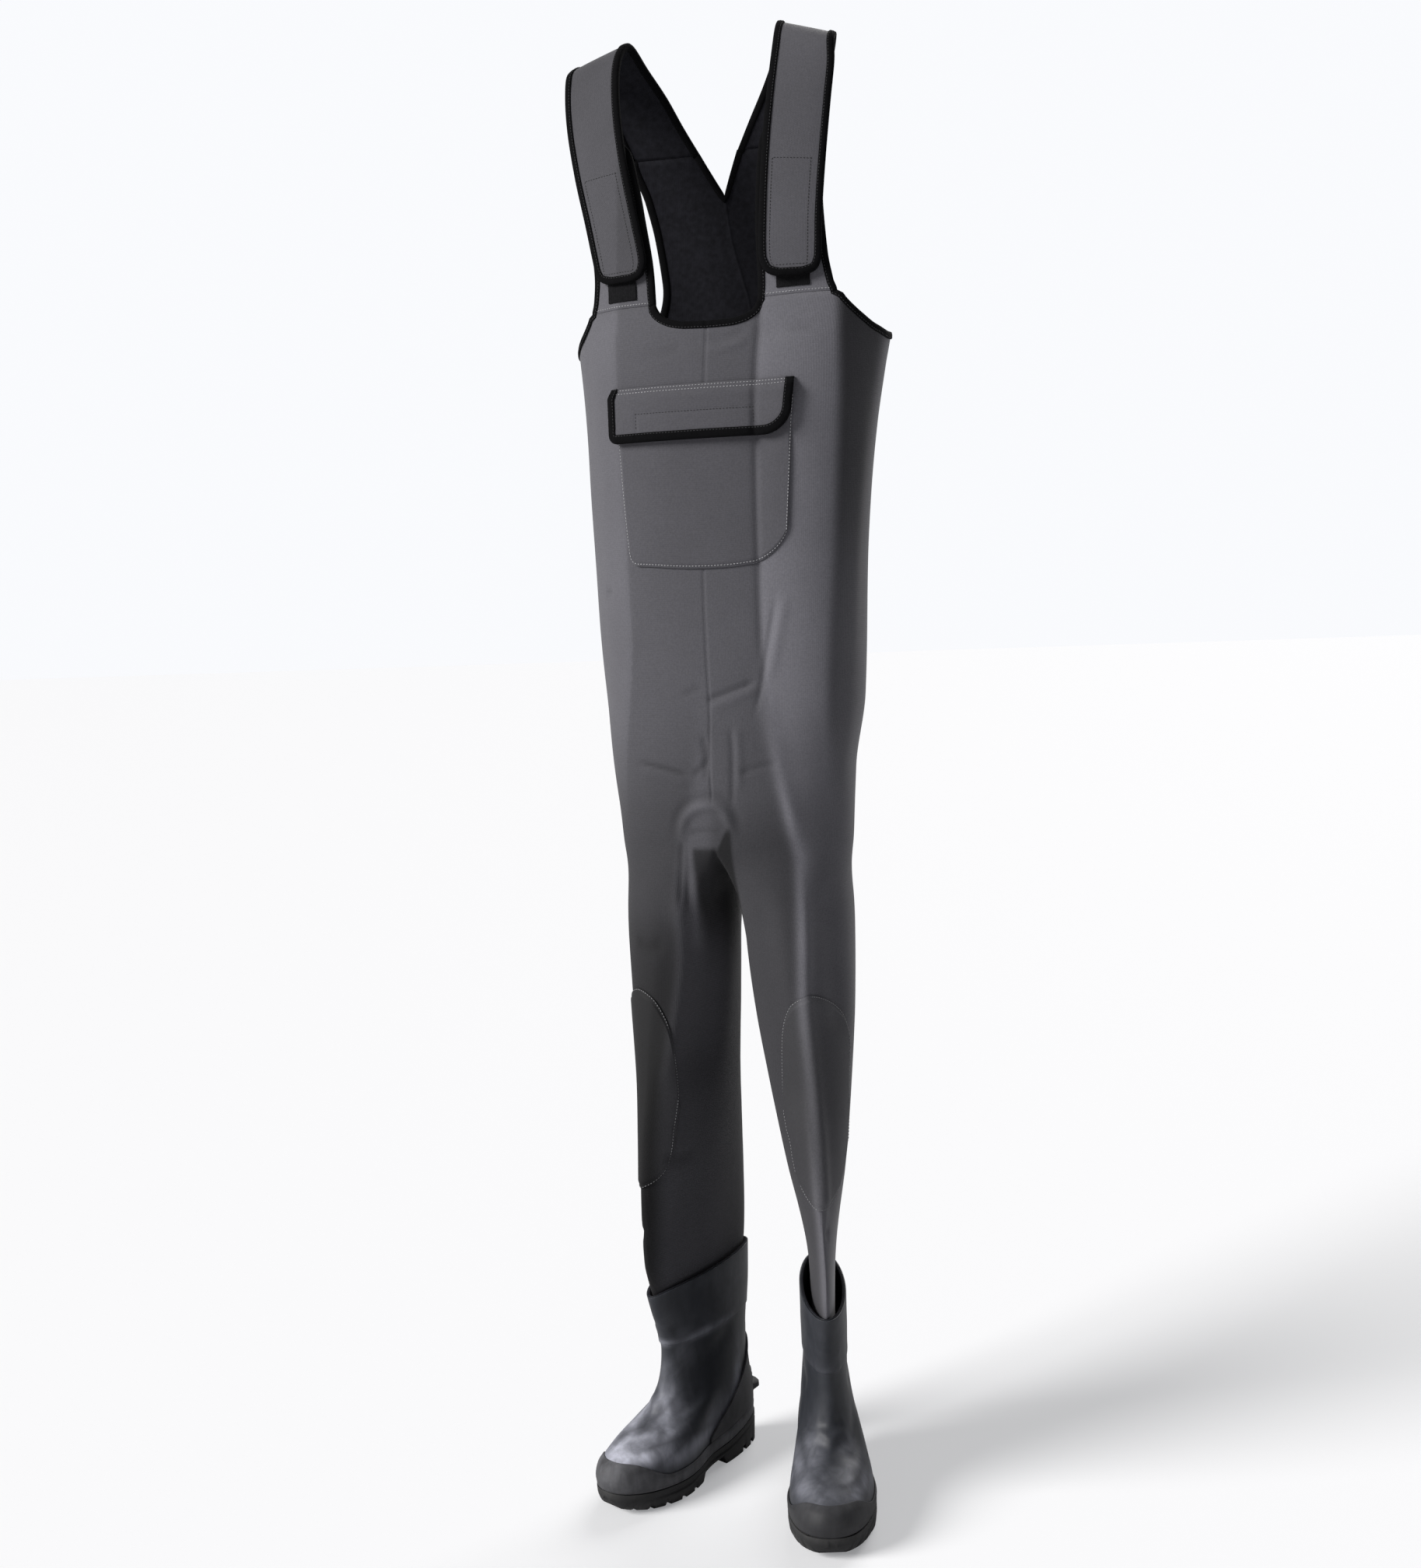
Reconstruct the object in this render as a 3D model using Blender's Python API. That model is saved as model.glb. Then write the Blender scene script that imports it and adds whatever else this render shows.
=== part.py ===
"""Neoprene chest waders with moulded rubber boots, standing empty on both soles.

Lengths are in metres. The front faces -Y, the wearer's left is +X and +Z is up.
Every piece is a wall between an outer and an inner sheet of points.
"""

import math
from collections import namedtuple

import bpy
from mathutils import Vector

# Wall sizes and clearances
SUIT_WALL = 0.004
BOOT_WALL = 0.0026
GAP = 0.0003
OVERLAY_GAP = 0.0005

# Where the middle of the torso stands over the middle of the outline on the floor
BODY_PLACE = Vector((-0.0129, 0.0607, 0.0))

# Torso: half sizes of a rounded box section at each height
TorsoRow = namedtuple("TorsoRow", "z half_width front back square shift back_shift")
TORSO = (
    TorsoRow(0.600, 0.130, 0.080, 0.082, 2.20, -0.004, -0.004),
    TorsoRow(0.700, 0.131, 0.083, 0.085, 2.20, -0.004, -0.004),
    TorsoRow(0.800, 0.136, 0.088, 0.090, 2.30, -0.004, -0.004),
    TorsoRow(0.880, 0.145, 0.094, 0.094, 2.35, 0.000, 0.000),
    TorsoRow(0.950, 0.149, 0.097, 0.094, 2.40, 0.000, 0.000),
    TorsoRow(1.030, 0.152, 0.098, 0.093, 2.40, 0.001, 0.001),
    TorsoRow(1.100, 0.156, 0.098, 0.093, 2.40, 0.003, 0.003),
    TorsoRow(1.170, 0.161, 0.098, 0.093, 2.40, 0.007, 0.007),
    TorsoRow(1.230, 0.168, 0.097, 0.093, 2.40, 0.011, 0.011),
    TorsoRow(1.270, 0.174, 0.093, 0.093, 2.40, 0.013, 0.013),
    TorsoRow(1.310, 0.178, 0.086, 0.091, 2.40, 0.012, 0.009),
    TorsoRow(1.400, 0.178, 0.071, 0.083, 2.40, 0.003, -0.010),
    TorsoRow(1.490, 0.178, 0.054, 0.068, 2.40, -0.004, -0.016),
    TorsoRow(1.550, 0.178, 0.036, 0.046, 2.40, -0.005, -0.010),
    TorsoRow(1.600, 0.178, 0.008, 0.010, 2.40, -0.005, -0.006),
)

# Rings of the suit from the fork to just under the armholes
TORSO_LEVELS = (0.800, 0.860, 0.930, 1.010, 1.090, 1.170, 1.235)
ARMHOLE_Z = 1.262
TOP_STEPS = 2

# Columns round the front half, with the height of the bib's top edge at each one
FrontColumn = namedtuple("FrontColumn", "degrees top_z")
FRONT_COLUMNS = (
    FrontColumn(0.0, 1.277),
    FrontColumn(8.0, 1.279),
    FrontColumn(15.5, 1.298),
    FrontColumn(25.0, 1.298),
    FrontColumn(35.0, 1.298),
    FrontColumn(47.0, 1.298),
    FrontColumn(60.0, 1.277),
    FrontColumn(74.0, 1.266),
    FrontColumn(90.0, ARMHOLE_Z),
)
NECK_COLUMN = 2
TAB_COLUMN = 5
BACK_DEGREES = (106.0, 121.0, 137.0, 153.0, 170.0, 180.0)

# Back panel above the armholes: half width at each height
BackRow = namedtuple("BackRow", "z half_width")
BACK_PANEL = (
    BackRow(1.262, 0.1735),
    BackRow(1.270, 0.158),
    BackRow(1.288, 0.129),
    BackRow(1.315, 0.106),
    BackRow(1.350, 0.093),
    BackRow(1.395, 0.088),
    BackRow(1.440, 0.092),
    BackRow(1.485, 0.103),
)
BACK_VEE_DROP = 0.048
BACK_VEE_HALF = 0.233

# Legs: half sizes of a leg section, its crease and its share of the way from hip to ankle
LegRow = namedtuple("LegRow", "z half_width front back crease drift")
LEG = (
    LegRow(0.175, 0.0155, 0.0630, 0.0630, 0.50, 1.00),
    LegRow(0.215, 0.0160, 0.0705, 0.0700, 0.50, 1.00),
    LegRow(0.250, 0.0172, 0.0785, 0.0770, 0.48, 1.00),
    LegRow(0.325, 0.0255, 0.0865, 0.0850, 0.42, 0.95),
    LegRow(0.400, 0.0370, 0.0870, 0.0865, 0.32, 0.80),
    LegRow(0.470, 0.0465, 0.0835, 0.0850, 0.22, 0.60),
    LegRow(0.540, 0.0545, 0.0830, 0.0850, 0.12, 0.38),
    LegRow(0.605, 0.0590, 0.0840, 0.0860, 0.05, 0.18),
    LegRow(0.670, 0.0615, 0.0850, 0.0870, 0.00, 0.05),
    LegRow(0.745, 0.0620, 0.0850, 0.0870, 0.00, 0.00),
)
LEG_LEVELS = (0.745, 0.680, 0.605, 0.540, 0.470, 0.400, 0.325, 0.250, 0.215, 0.175)
LEG_OUTER_DEGREES = (-60, -40, -20, 0, 22.5, 45, 67.5, 90, 112.5, 135, 157.5, 180, 200, 220, 240)
LEG_INNER_DEGREES = (255, 270, 285)
HIP_X = 0.067
FORK_BLEND_TOP = 0.790
FORK_BLEND_BOTTOM = 0.605
CROTCH_DIP = 0.030
THIGH_GAP = 0.004

# Boots: heel position on the floor and toe-out angle of each one
BootPlace = namedtuple("BootPlace", "side heel_x heel_y toe_out")
BOOTS = {
    "right": BootPlace(-1, -0.0366, 0.0528, -23.5),
    "left": BootPlace(1, 0.0648, 0.0240, 18.5),
}

# Rings of the boot from the feather edge to the cuff: foremost and rearmost points and half widths
BootRow = namedtuple("BootRow", "front_y front_z back_y back_z half_front half_back blunt sag")
BOOT_RINGS = (
    BootRow(0.2430, 0.0270, 0.0040, 0.0360, 0.0470, 0.0335, 0.62, 0.0110),
    BootRow(0.2455, 0.0390, 0.0025, 0.0500, 0.0478, 0.0345, 0.66, 0.0110),
    BootRow(0.2400, 0.0510, 0.0025, 0.0620, 0.0462, 0.0345, 0.72, 0.0100),
    BootRow(0.2255, 0.0600, 0.0035, 0.0730, 0.0430, 0.0335, 0.78, 0.0070),
    BootRow(0.2050, 0.0670, 0.0055, 0.0850, 0.0392, 0.0325, 0.84, 0.0030),
    BootRow(0.1820, 0.0745, 0.0075, 0.0970, 0.0350, 0.0312, 0.90, 0.0000),
    BootRow(0.1630, 0.0850, 0.0080, 0.1100, 0.0308, 0.0296, 0.96, 0.0000),
    BootRow(0.1475, 0.1040, 0.0070, 0.1280, 0.0272, 0.0276, 1.00, 0.0000),
    BootRow(0.1400, 0.1320, 0.0050, 0.1480, 0.0250, 0.0255, 1.00, 0.0000),
    BootRow(0.1405, 0.1640, 0.0015, 0.1750, 0.0240, 0.0242, 1.00, 0.0000),
    BootRow(0.1495, 0.1950, -0.0015, 0.2070, 0.0236, 0.0236, 1.00, 0.0000),
    BootRow(0.1570, 0.2230, -0.0035, 0.2400, 0.0236, 0.0236, 1.00, 0.0000),
)
BOOT_COLUMNS = 22
TOP_RING = len(BOOT_RINGS) - 1
WAIST_DEPTH = 0.007
TOE_BEND = 0.007
CUFF_DIP = 0.022
CUFF_DIP_DEGREES = 34.0
CUFF_DIP_RING = 9.0

# Overlays on the boot, as ring numbers of the table above
RAND_GAP = 0.0010
RAND_THICK = 0.0016
RAND_TOE_RING = 2.5
RAND_SIDE_RING = 1.06
COUNTER_THICK = 0.0014
COUNTER_TOP_RING = 7.0
COUNTER_SIDE_RING = 1.5
COUNTER_FRONT = 0.57
COUNTER_STEPS = (0.0, 0.09, 0.12, 0.20, 0.23, 0.50, 0.75, 1.0)
COUNTER_COLUMNS = (6, 7, 8, 9, 10, 11, 12, 13, 14, 15, 16)
SPUR_STEPS = (0.12, 0.20)
SPUR_COLUMNS = (10, 11, 12)
SPUR_REACH = 0.008
CUFF_BAND_RINGS = (8.75, 9.0, 10.0, 10.97)
CUFF_BAND_GAP = 0.0008
CUFF_BAND_THICK = 0.0012

# Outsole: distances from the heel along the foot
SOLE_MARGIN = 0.0028
LUG_DEPTH = 0.006
FORE_DEPTH = 0.003
LUG_WALL = 0.0008
LUG_GROOVE = 0.007
HEEL_LUGS = ((0.006, 0.018), (0.025, 0.037), (0.044, 0.078))
FORE_LUGS = ((0.126, 0.141), (0.148, 0.163), (0.170, 0.185), (0.192, 0.205))
TOE_LUGS = ((0.212, 0.223), (0.229, 0.237))
ARCH_FRONT = 0.120
ARCH_HEIGHT = 0.010
SPRING_START = 0.195
SPRING_RISE = 0.010
SOLE_SIDE_STEPS = ((0.0, 0.0), (0.0, 0.0050), (-0.0014, 0.0062), (-0.0014, 0.0080), (0.0, 0.0092))
SOLE_TUCK = 0.0012
SOLE_TIP = 0.0004
SOLE_NOSE = 0.003
SOLE_ROUND = 0.004
ARCH_WALL = 0.004
ARCH_FALL = 0.002
INSOLE_THICK = 0.0035

# Pocket, flap and knee patches: columns of the suit with their lowest and highest points
PatchColumn = namedtuple("PatchColumn", "degrees low_z high_z")
POCKET_THICK = 0.003
POCKET = (
    PatchColumn(-31.0, 1.0750, 1.196),
    PatchColumn(-29.5, 1.0480, 1.196),
    PatchColumn(-25.0, 1.0320, 1.196),
    PatchColumn(-15.5, 1.0260, 1.196),
    PatchColumn(-8.0, 1.0250, 1.196),
    PatchColumn(0.0, 1.0250, 1.196),
    PatchColumn(8.0, 1.0250, 1.196),
    PatchColumn(15.5, 1.0255, 1.196),
    PatchColumn(25.0, 1.0350, 1.196),
    PatchColumn(29.5, 1.0500, 1.196),
    PatchColumn(32.0, 1.0820, 1.196),
)
FLAP_THICK = 0.004
FLAP_STANDOFF = 0.0056
FLAP_SEAM_Z = 1.214
FLAP_LOW_Z = 1.158
FLAP_DEGREES = (-33.0, -28.0, -21.0, -13.5, -6.5, 0.0, 6.5, 13.0, 19.0, 24.5, 29.5)
FLAP_STEPS = (0.0, 0.2, 0.74, 0.86, 1.0)
FLAP_TAPE_ROW = 3
FLAP_CORNER_LIFT = 0.016
KNEE_GAP = 0.0016
KNEE_THICK = 0.0025
KNEE_PATCH = (
    PatchColumn(-46, 0.384, 0.432),
    PatchColumn(-40, 0.364, 0.460),
    PatchColumn(-30, 0.353, 0.502),
    PatchColumn(-20, 0.348, 0.532),
    PatchColumn(0, 0.344, 0.557),
    PatchColumn(22.5, 0.345, 0.565),
    PatchColumn(45, 0.353, 0.556),
    PatchColumn(62, 0.372, 0.539),
    PatchColumn(72, 0.402, 0.514),
)

# Tabs under the strap ends
TabRow = namedtuple("TabRow", "z inner_x outer_x")
TAB = (
    TabRow(1.2996, 0.0565, 0.1330),
    TabRow(1.3400, 0.0590, 0.1280),
    TabRow(1.3900, 0.0630, 0.1290),
    TabRow(1.4400, 0.0690, 0.1350),
    TabRow(1.4650, 0.0740, 0.1370),
    TabRow(1.4800, 0.0840, 0.1290),
)
TAB_COLUMNS = 4
LOOP_PAD_THICK = 0.0012
LOOP_PAD = (TabRow(1.3060, 0.076, 0.110), TabRow(1.3450, 0.078, 0.112), TabRow(1.4200, 0.084, 0.118))

# Straps from the back seam over the shoulder to the rounded front end
StrapRow = namedtuple("StrapRow", "face inner_x outer_x inner_z outer_z")
STRAP_WALL = 0.004
STRAP_STANDOFF = 0.0045
STRAP = (
    StrapRow("back", 0.0240, 0.1030, 1.4868, 1.4868),
    StrapRow("back", 0.0410, 0.1140, 1.5150, 1.5120),
    StrapRow("back", 0.0580, 0.1260, 1.5450, 1.5380),
    StrapRow("back", 0.0740, 0.1370, 1.5720, 1.5600),
    StrapRow("ridge", 0.0835, 0.1440, 1.5900, 1.5710),
    StrapRow("front", 0.0865, 0.1465, 1.5770, 1.5580),
    StrapRow("front", 0.0865, 0.1470, 1.5500, 1.5350),
    StrapRow("front", 0.0825, 0.1430, 1.5050, 1.4960),
    StrapRow("front", 0.0755, 0.1355, 1.4500, 1.4450),
    StrapRow("front", 0.0680, 0.1270, 1.3950, 1.3930),
    StrapRow("front", 0.0630, 0.1220, 1.3530, 1.3530),
    StrapRow("front", 0.0640, 0.1200, 1.3400, 1.3400),
    StrapRow("front", 0.0690, 0.1150, 1.3310, 1.3310),
    StrapRow("front", 0.0800, 0.1040, 1.3265, 1.3265),
)
STRAP_COLUMNS = 4
STRAP_FAN = 4
RIDGE_Y = -0.002

# Folded edge tape
TAPE_LAP = 0.008
TAPE_TURN = 0.002
TAPE_THICK = 0.0011
TAPE_GAP = 0.0005
TAPE_POINTS = 8
NECK_TRIM = 0.004
TAPE_TRIM = 0.0015

# Colours
NEOPRENE = (0.105, 0.105, 0.110, 1.0)
NEOPRENE_LEG = (0.075, 0.075, 0.080, 1.0)
TAPE_BLACK = (0.012, 0.012, 0.014, 1.0)
RUBBER = (0.030, 0.034, 0.042, 1.0)
RUBBER_MATTE = (0.022, 0.022, 0.024, 1.0)
SOLE_BLACK = (0.018, 0.018, 0.019, 1.0)
LINING = (0.030, 0.030, 0.034, 1.0)


def table(rows, column, at):
    """Smooth value of a named column at a value of the first column."""
    keys = [row[0] for row in rows]
    values = [getattr(row, column) for row in rows]
    if at <= keys[0]:
        return values[0]
    if at >= keys[-1]:
        return values[-1]
    last = len(keys) - 1
    low = max(i for i in range(last) if keys[i] <= at)

    def slope(i):
        if i in (0, last):
            return 0.0
        before = (values[i] - values[i - 1]) / (keys[i] - keys[i - 1])
        after = (values[i + 1] - values[i]) / (keys[i + 1] - keys[i])
        return 2 * before * after / (before + after) if before * after > 0 else 0.0

    span = keys[low + 1] - keys[low]
    t = (at - keys[low]) / span
    rise = 3 * t * t - 2 * t ** 3
    leave = t * (1 - t) ** 2 * span * slope(low)
    arrive = t * t * (t - 1) * span * slope(low + 1)
    return values[low] * (1 - rise) + values[low + 1] * rise + leave + arrive


def signed_power(value, power):
    return math.copysign(abs(value) ** power, value)


def smooth_step(low, high, value):
    t = min(max((value - low) / (high - low), 0.0), 1.0)
    return t * t * (3 - 2 * t)


def torso_point(degrees, z, out=0.0):
    """Point of the torso's outer face, 0 degrees at the front, 90 on the wearer's left."""
    angle = math.radians(degrees)
    power = 2.0 / table(TORSO, "square", z)
    forward = math.cos(angle)
    depth = table(TORSO, "front" if forward > 0 else "back", z) + out
    middle = table(TORSO, "shift" if forward > 0 else "back_shift", z)
    x = middle + (table(TORSO, "half_width", z) + out) * signed_power(math.sin(angle), power)
    return Vector((x, -depth * signed_power(forward, power), z))


def degrees_at(x, z, face):
    """Angle of the torso point at a distance x from the middle of the front or the back."""
    share = min(abs(x) / table(TORSO, "half_width", z), 1.0)
    angle = math.degrees(math.asin(share ** (table(TORSO, "square", z) / 2.0)))
    if face == "back":
        angle = 180.0 - angle
    return math.copysign(angle, x)


def face_point(x, z, face, out=0.0):
    return torso_point(degrees_at(x, z, face), z, out)


def torso_normal(degrees, z):
    around = torso_point(degrees + 1.0, z) - torso_point(degrees - 1.0, z)
    rising = torso_point(degrees, z + 0.004) - torso_point(degrees, z - 0.004)
    return around.cross(rising).normalized()


def over_torso(degrees, z, out):
    """Point at a distance straight out from the torso's outer face."""
    return torso_point(degrees, z) + torso_normal(degrees, z) * out


def boot_axes(boot):
    turn = math.radians(boot.toe_out)
    across = Vector((math.cos(turn), math.sin(turn), 0.0))
    forward = Vector((math.sin(turn), -math.cos(turn), 0.0))
    return Vector((boot.heel_x, boot.heel_y, 0.0)), across, forward


def leg_point(boot, degrees, z, inset=0.0):
    """Point of a leg below the fork, 0 degrees at the leg's front crease."""
    heel, across, forward = boot_axes(boot)
    drift = table(LEG, "drift", z)
    ankle = heel + forward * (BOOT_RINGS[TOP_RING].front_y + BOOT_RINGS[TOP_RING].back_y) / 2
    middle = Vector((boot.side * HIP_X + table(TORSO, "shift", z), 0.0, 0.0)).lerp(ankle, drift)
    turn = math.radians(boot.toe_out * drift)
    angle = math.radians(degrees)
    depth = table(LEG, "front" if math.cos(angle) > 0 else "back", z) - inset
    crease = table(LEG, "crease", z)
    aside = (table(LEG, "half_width", z) - inset) * math.sin(angle) * abs(math.sin(angle)) ** crease
    ahead = depth * math.cos(angle)
    return Vector((
        middle.x + aside * math.cos(turn) + ahead * math.sin(turn),
        middle.y + aside * math.sin(turn) - ahead * math.cos(turn),
        z,
    ))


def boot_point(boot, degrees, ring, out=0.0):
    """Point of the boot's outer face on a ring, 0 degrees at the toe; out moves it along its normal."""
    if out:
        step = 0.05
        around = boot_point(boot, degrees + 2.0, ring) - boot_point(boot, degrees - 2.0, ring)
        upper, lower = min(ring + step, TOP_RING), max(ring - step, 0.0)
        rising = boot_point(boot, degrees, upper) - boot_point(boot, degrees, lower)
        return boot_point(boot, degrees, ring) + around.cross(rising).normalized() * out
    low = min(int(ring), TOP_RING - 1)
    share = ring - low
    row = BootRow(*(a + (b - a) * share for a, b in zip(BOOT_RINGS[low], BOOT_RINGS[low + 1])))
    angle = math.radians(degrees)
    along = (1 + math.cos(angle)) / 2
    half = row.half_back + (row.half_front - row.half_back) * smooth_step(0.15, 0.72, along)
    aside = signed_power(math.sin(angle), row.blunt) * half
    foot = (row.half_front - row.half_back) / (BOOT_RINGS[0].half_front - BOOT_RINGS[0].half_back)
    foot = max(foot, 0.0)
    if aside * boot.side < 0:
        waist = math.exp(-((along - 0.42) / 0.13) ** 2)
        aside *= 1 - WAIST_DEPTH * foot * waist / half
    aside -= boot.side * TOE_BEND * foot * smooth_step(0.45, 1.0, along)
    heel, across, forward = boot_axes(boot)
    place = heel + across * aside + forward * (row.back_y + (row.front_y - row.back_y) * along)
    place.z = row.back_z + (row.front_z - row.back_z) * along - row.sag * 4 * along * (1 - along)
    aside_degrees = (degrees + 180.0) % 360.0 - 180.0
    notch = math.exp(-(aside_degrees / CUFF_DIP_DEGREES) ** 2)
    place.z -= CUFF_DIP * notch * smooth_step(CUFF_DIP_RING, TOP_RING, ring)
    return place


def ring_degrees(column):
    return column * 360.0 / BOOT_COLUMNS


def make_material(name, colour, roughness):
    material = bpy.data.materials.new(name)
    material.use_nodes = True
    shader = material.node_tree.nodes["Principled BSDF"]
    shader.inputs["Base Color"].default_value = colour
    shader.inputs["Roughness"].default_value = roughness
    shader.inputs["Metallic"].default_value = 0.0
    return material


def add_object(name, points, faces, colour, roughness):
    mesh = bpy.data.meshes.new(name)
    mesh.from_pydata([tuple(p) for p in points], [], faces)
    mesh.shade_smooth()
    mesh.set_sharp_from_angle(angle=math.radians(35))
    mesh.materials.append(make_material(name, colour, roughness))
    piece = bpy.data.objects.new(name, mesh)
    piece.parent = bpy.data.objects["waders"]
    bpy.context.scene.collection.objects.link(piece)


def wall(name, outer, inner, faces, colour, roughness):
    """Closed wall between two sheets of points with the same faces."""
    count = len(outer)
    edges = {(face[i], face[(i + 1) % len(face)]) for face in faces for i in range(len(face))}
    rim = [(b, a, a + count, b + count) for a, b in sorted(edges) if (b, a) not in edges]
    back = [tuple(i + count for i in reversed(face)) for face in faces]
    add_object(name, list(outer) + list(inner), list(faces) + back + rim, colour, roughness)
    return outer, inner


def four_corners(lower, upper, k, after, turned):
    """Face between two rows of point numbers; a turned face folds along its other diagonal."""
    corners = (lower[k], lower[after], upper[after], upper[k])
    return corners[1:] + corners[:1] if turned else corners


def grid_faces(rows, columns, closed=False, turn_from=0):
    """Faces of a grid, rows upward; columns before turn_from fold the other way, as in a mirror."""
    faces = []
    for row in range(rows - 1):
        lower = range(row * columns, (row + 1) * columns)
        upper = range((row + 1) * columns, (row + 2) * columns)
        for k in range(columns if closed else columns - 1):
            faces.append(four_corners(lower, upper, k, (k + 1) % columns, k < turn_from))
    return faces


def suit_columns():
    """Angles once round the torso, front first, with the bib's top height for the front ones."""
    half = [(c.degrees, c.top_z) for c in FRONT_COLUMNS] + [(d, ARMHOLE_Z) for d in BACK_DEGREES]
    other = [(360.0 - d, top) for d, top in reversed(half[1:-1])]
    return half + other


def back_top(share):
    """Height of the back panel's top edge, lower in the V at the middle."""
    return BACK_PANEL[-1].z - BACK_VEE_DROP * max(0.0, 1.0 - abs(share) / BACK_VEE_HALF)


def suit_sheet(inset):
    """Points and faces of the suit's outer face, or of its inner face."""
    columns = suit_columns()
    count = len(columns)
    half = count // 2
    points = []
    faces = []
    for z in TORSO_LEVELS:
        points += [torso_point(d, z, -inset) for d, _ in columns]
    for step in range(1, TOP_STEPS + 1):
        for degrees, top in columns:
            z = TORSO_LEVELS[-1] + (top - TORSO_LEVELS[-1]) * step / TOP_STEPS
            points.append(torso_point(degrees, z, -inset))
    rows = len(TORSO_LEVELS) + TOP_STEPS
    faces += grid_faces(rows, count, True, half)

    back = range(len(FRONT_COLUMNS) - 1, count - len(FRONT_COLUMNS) + 2)
    previous = [(rows - 1) * count + i for i in back]
    base = BACK_PANEL[0]
    for level, row in enumerate(BACK_PANEL[1:], 1):
        rise = level / (len(BACK_PANEL) - 1)
        current = []
        for i in back:
            share = (points[(rows - 1) * count + i].x - table(TORSO, "back_shift", base.z)) / (base.half_width - inset)
            x = share * row.half_width
            z = row.z + (back_top(share) - BACK_PANEL[-1].z) * rise ** 3
            current.append(len(points))
            points.append(face_point(x, z, "back", -inset))
        middle = len(current) // 2
        faces += [four_corners(previous, current, k, k + 1, k >= middle) for k in range(len(current) - 1)]
        previous = current

    crotch = []
    for degrees in LEG_INNER_DEGREES:
        share = (degrees - LEG_OUTER_DEGREES[-1]) / (360 + LEG_OUTER_DEGREES[0] - LEG_OUTER_DEGREES[-1])
        lift = CROTCH_DIP * math.sin(math.pi * share) - inset
        place = points[half].lerp(points[0], share)
        place.z -= lift
        crotch.append(len(points))
        points.append(place)

    for boot in BOOTS.values():
        if boot.side > 0:
            upper = list(range(0, half + 1)) + crotch
            torso_degrees = [columns[i][0] for i in range(0, half + 1)]
            leg_degrees = list(LEG_OUTER_DEGREES)
        else:
            upper = list(range(half, count)) + [0] + crotch[::-1]
            torso_degrees = [columns[i % count][0] for i in range(half, count + 1)]
            leg_degrees = [-d for d in reversed(LEG_OUTER_DEGREES)]
        for z in LEG_LEVELS:
            own = smooth_step(FORK_BLEND_TOP, FORK_BLEND_BOTTOM, z)
            ring = []
            for torso_angle, leg_angle in zip(torso_degrees, leg_degrees):
                top = torso_point(torso_angle, z, -inset)
                top.x += boot.side * (THIGH_GAP + inset) * (abs(math.sin(math.radians(torso_angle))) < 0.01)
                ring.append(top.lerp(leg_point(boot, leg_angle, z, inset), own))
            start, end = ring[-1].copy(), ring[0].copy()
            for degrees in LEG_INNER_DEGREES:
                share = (degrees - LEG_OUTER_DEGREES[-1]) / (360 + LEG_OUTER_DEGREES[0] - LEG_OUTER_DEGREES[-1])
                leg = leg_point(boot, boot.side * degrees if boot.side > 0 else degrees - 180, z, inset)
                ring.append(start.lerp(end, share).lerp(leg, own))
            lower = range(len(points), len(points) + len(ring))
            points += ring
            for k in range(len(ring)):
                faces.append(four_corners(lower, upper, k, (k + 1) % len(ring), boot.side > 0))
            upper = lower
    return points, faces


def make_suit():
    outer, faces = suit_sheet(0.0)
    inner, _ = suit_sheet(SUIT_WALL)
    sheets = wall("suit", outer, inner, faces, NEOPRENE, 0.85)

    count = len(suit_columns())
    sides = len(FRONT_COLUMNS) - 1
    width = count - 2 * sides + 1
    top = (len(TORSO_LEVELS) + TOP_STEPS - 1) * count
    panel = [top + count + level * width for level in range(len(BACK_PANEL) - 1)]
    neck = [(top + i % count, top - count + i % count) for i in range(-NECK_COLUMN, NECK_COLUMN + 1)]
    make_tape("neck_tape", edge_stations(sheets, neck, NECK_TRIM))
    middle = width // 2
    vee = [(panel[-1] + k, panel[-2] + k) for k in range(middle - 1, middle + 2)]
    make_tape("back_vee_tape", edge_stations(sheets, vee, NECK_TRIM))
    left = [(top + i, top - count + i) for i in range(TAB_COLUMN, sides + 1)]
    left += [(start, start + 1) for start in panel]
    make_tape("armhole_tape_left", edge_stations(sheets, left, TAPE_TRIM))
    right = [(top + count - i, top - i) for i in range(TAB_COLUMN, sides + 1)]
    right += [(start + width - 1, start + width - 2) for start in panel]
    make_tape("armhole_tape_right", edge_stations(sheets, right, TAPE_TRIM))


def make_patch(name, columns, steps, place, colour, roughness):
    """Patch over the suit; place gives a point at an angle, height, share of the way up and layer."""
    sheets = []
    for layer in ("outer", "inner"):
        points = []
        for step in steps:
            for column in columns:
                z = column.low_z + (column.high_z - column.low_z) * step
                points.append(place(column.degrees, z, step, layer))
        sheets.append(points)
    return wall(name, sheets[0], sheets[1], grid_faces(len(steps), len(columns)), colour, roughness)


def flap_out(step, layer):
    """Distance of the flap's faces from the bib: sewn down at its top, clear of the pocket below."""
    clear = OVERLAY_GAP + (FLAP_STANDOFF - OVERLAY_GAP) * (1 - smooth_step(0.76, 0.98, step))
    return clear + (FLAP_THICK if layer == "outer" else 0.0)


def flap_columns():
    columns = []
    for degrees in FLAP_DEGREES:
        widest = FLAP_DEGREES[-1] if degrees > 0 else FLAP_DEGREES[0]
        lift = FLAP_CORNER_LIFT * smooth_step(0.70, 1.0, degrees / widest)
        columns.append(PatchColumn(degrees, FLAP_LOW_Z + lift, FLAP_SEAM_Z))
    return columns


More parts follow.
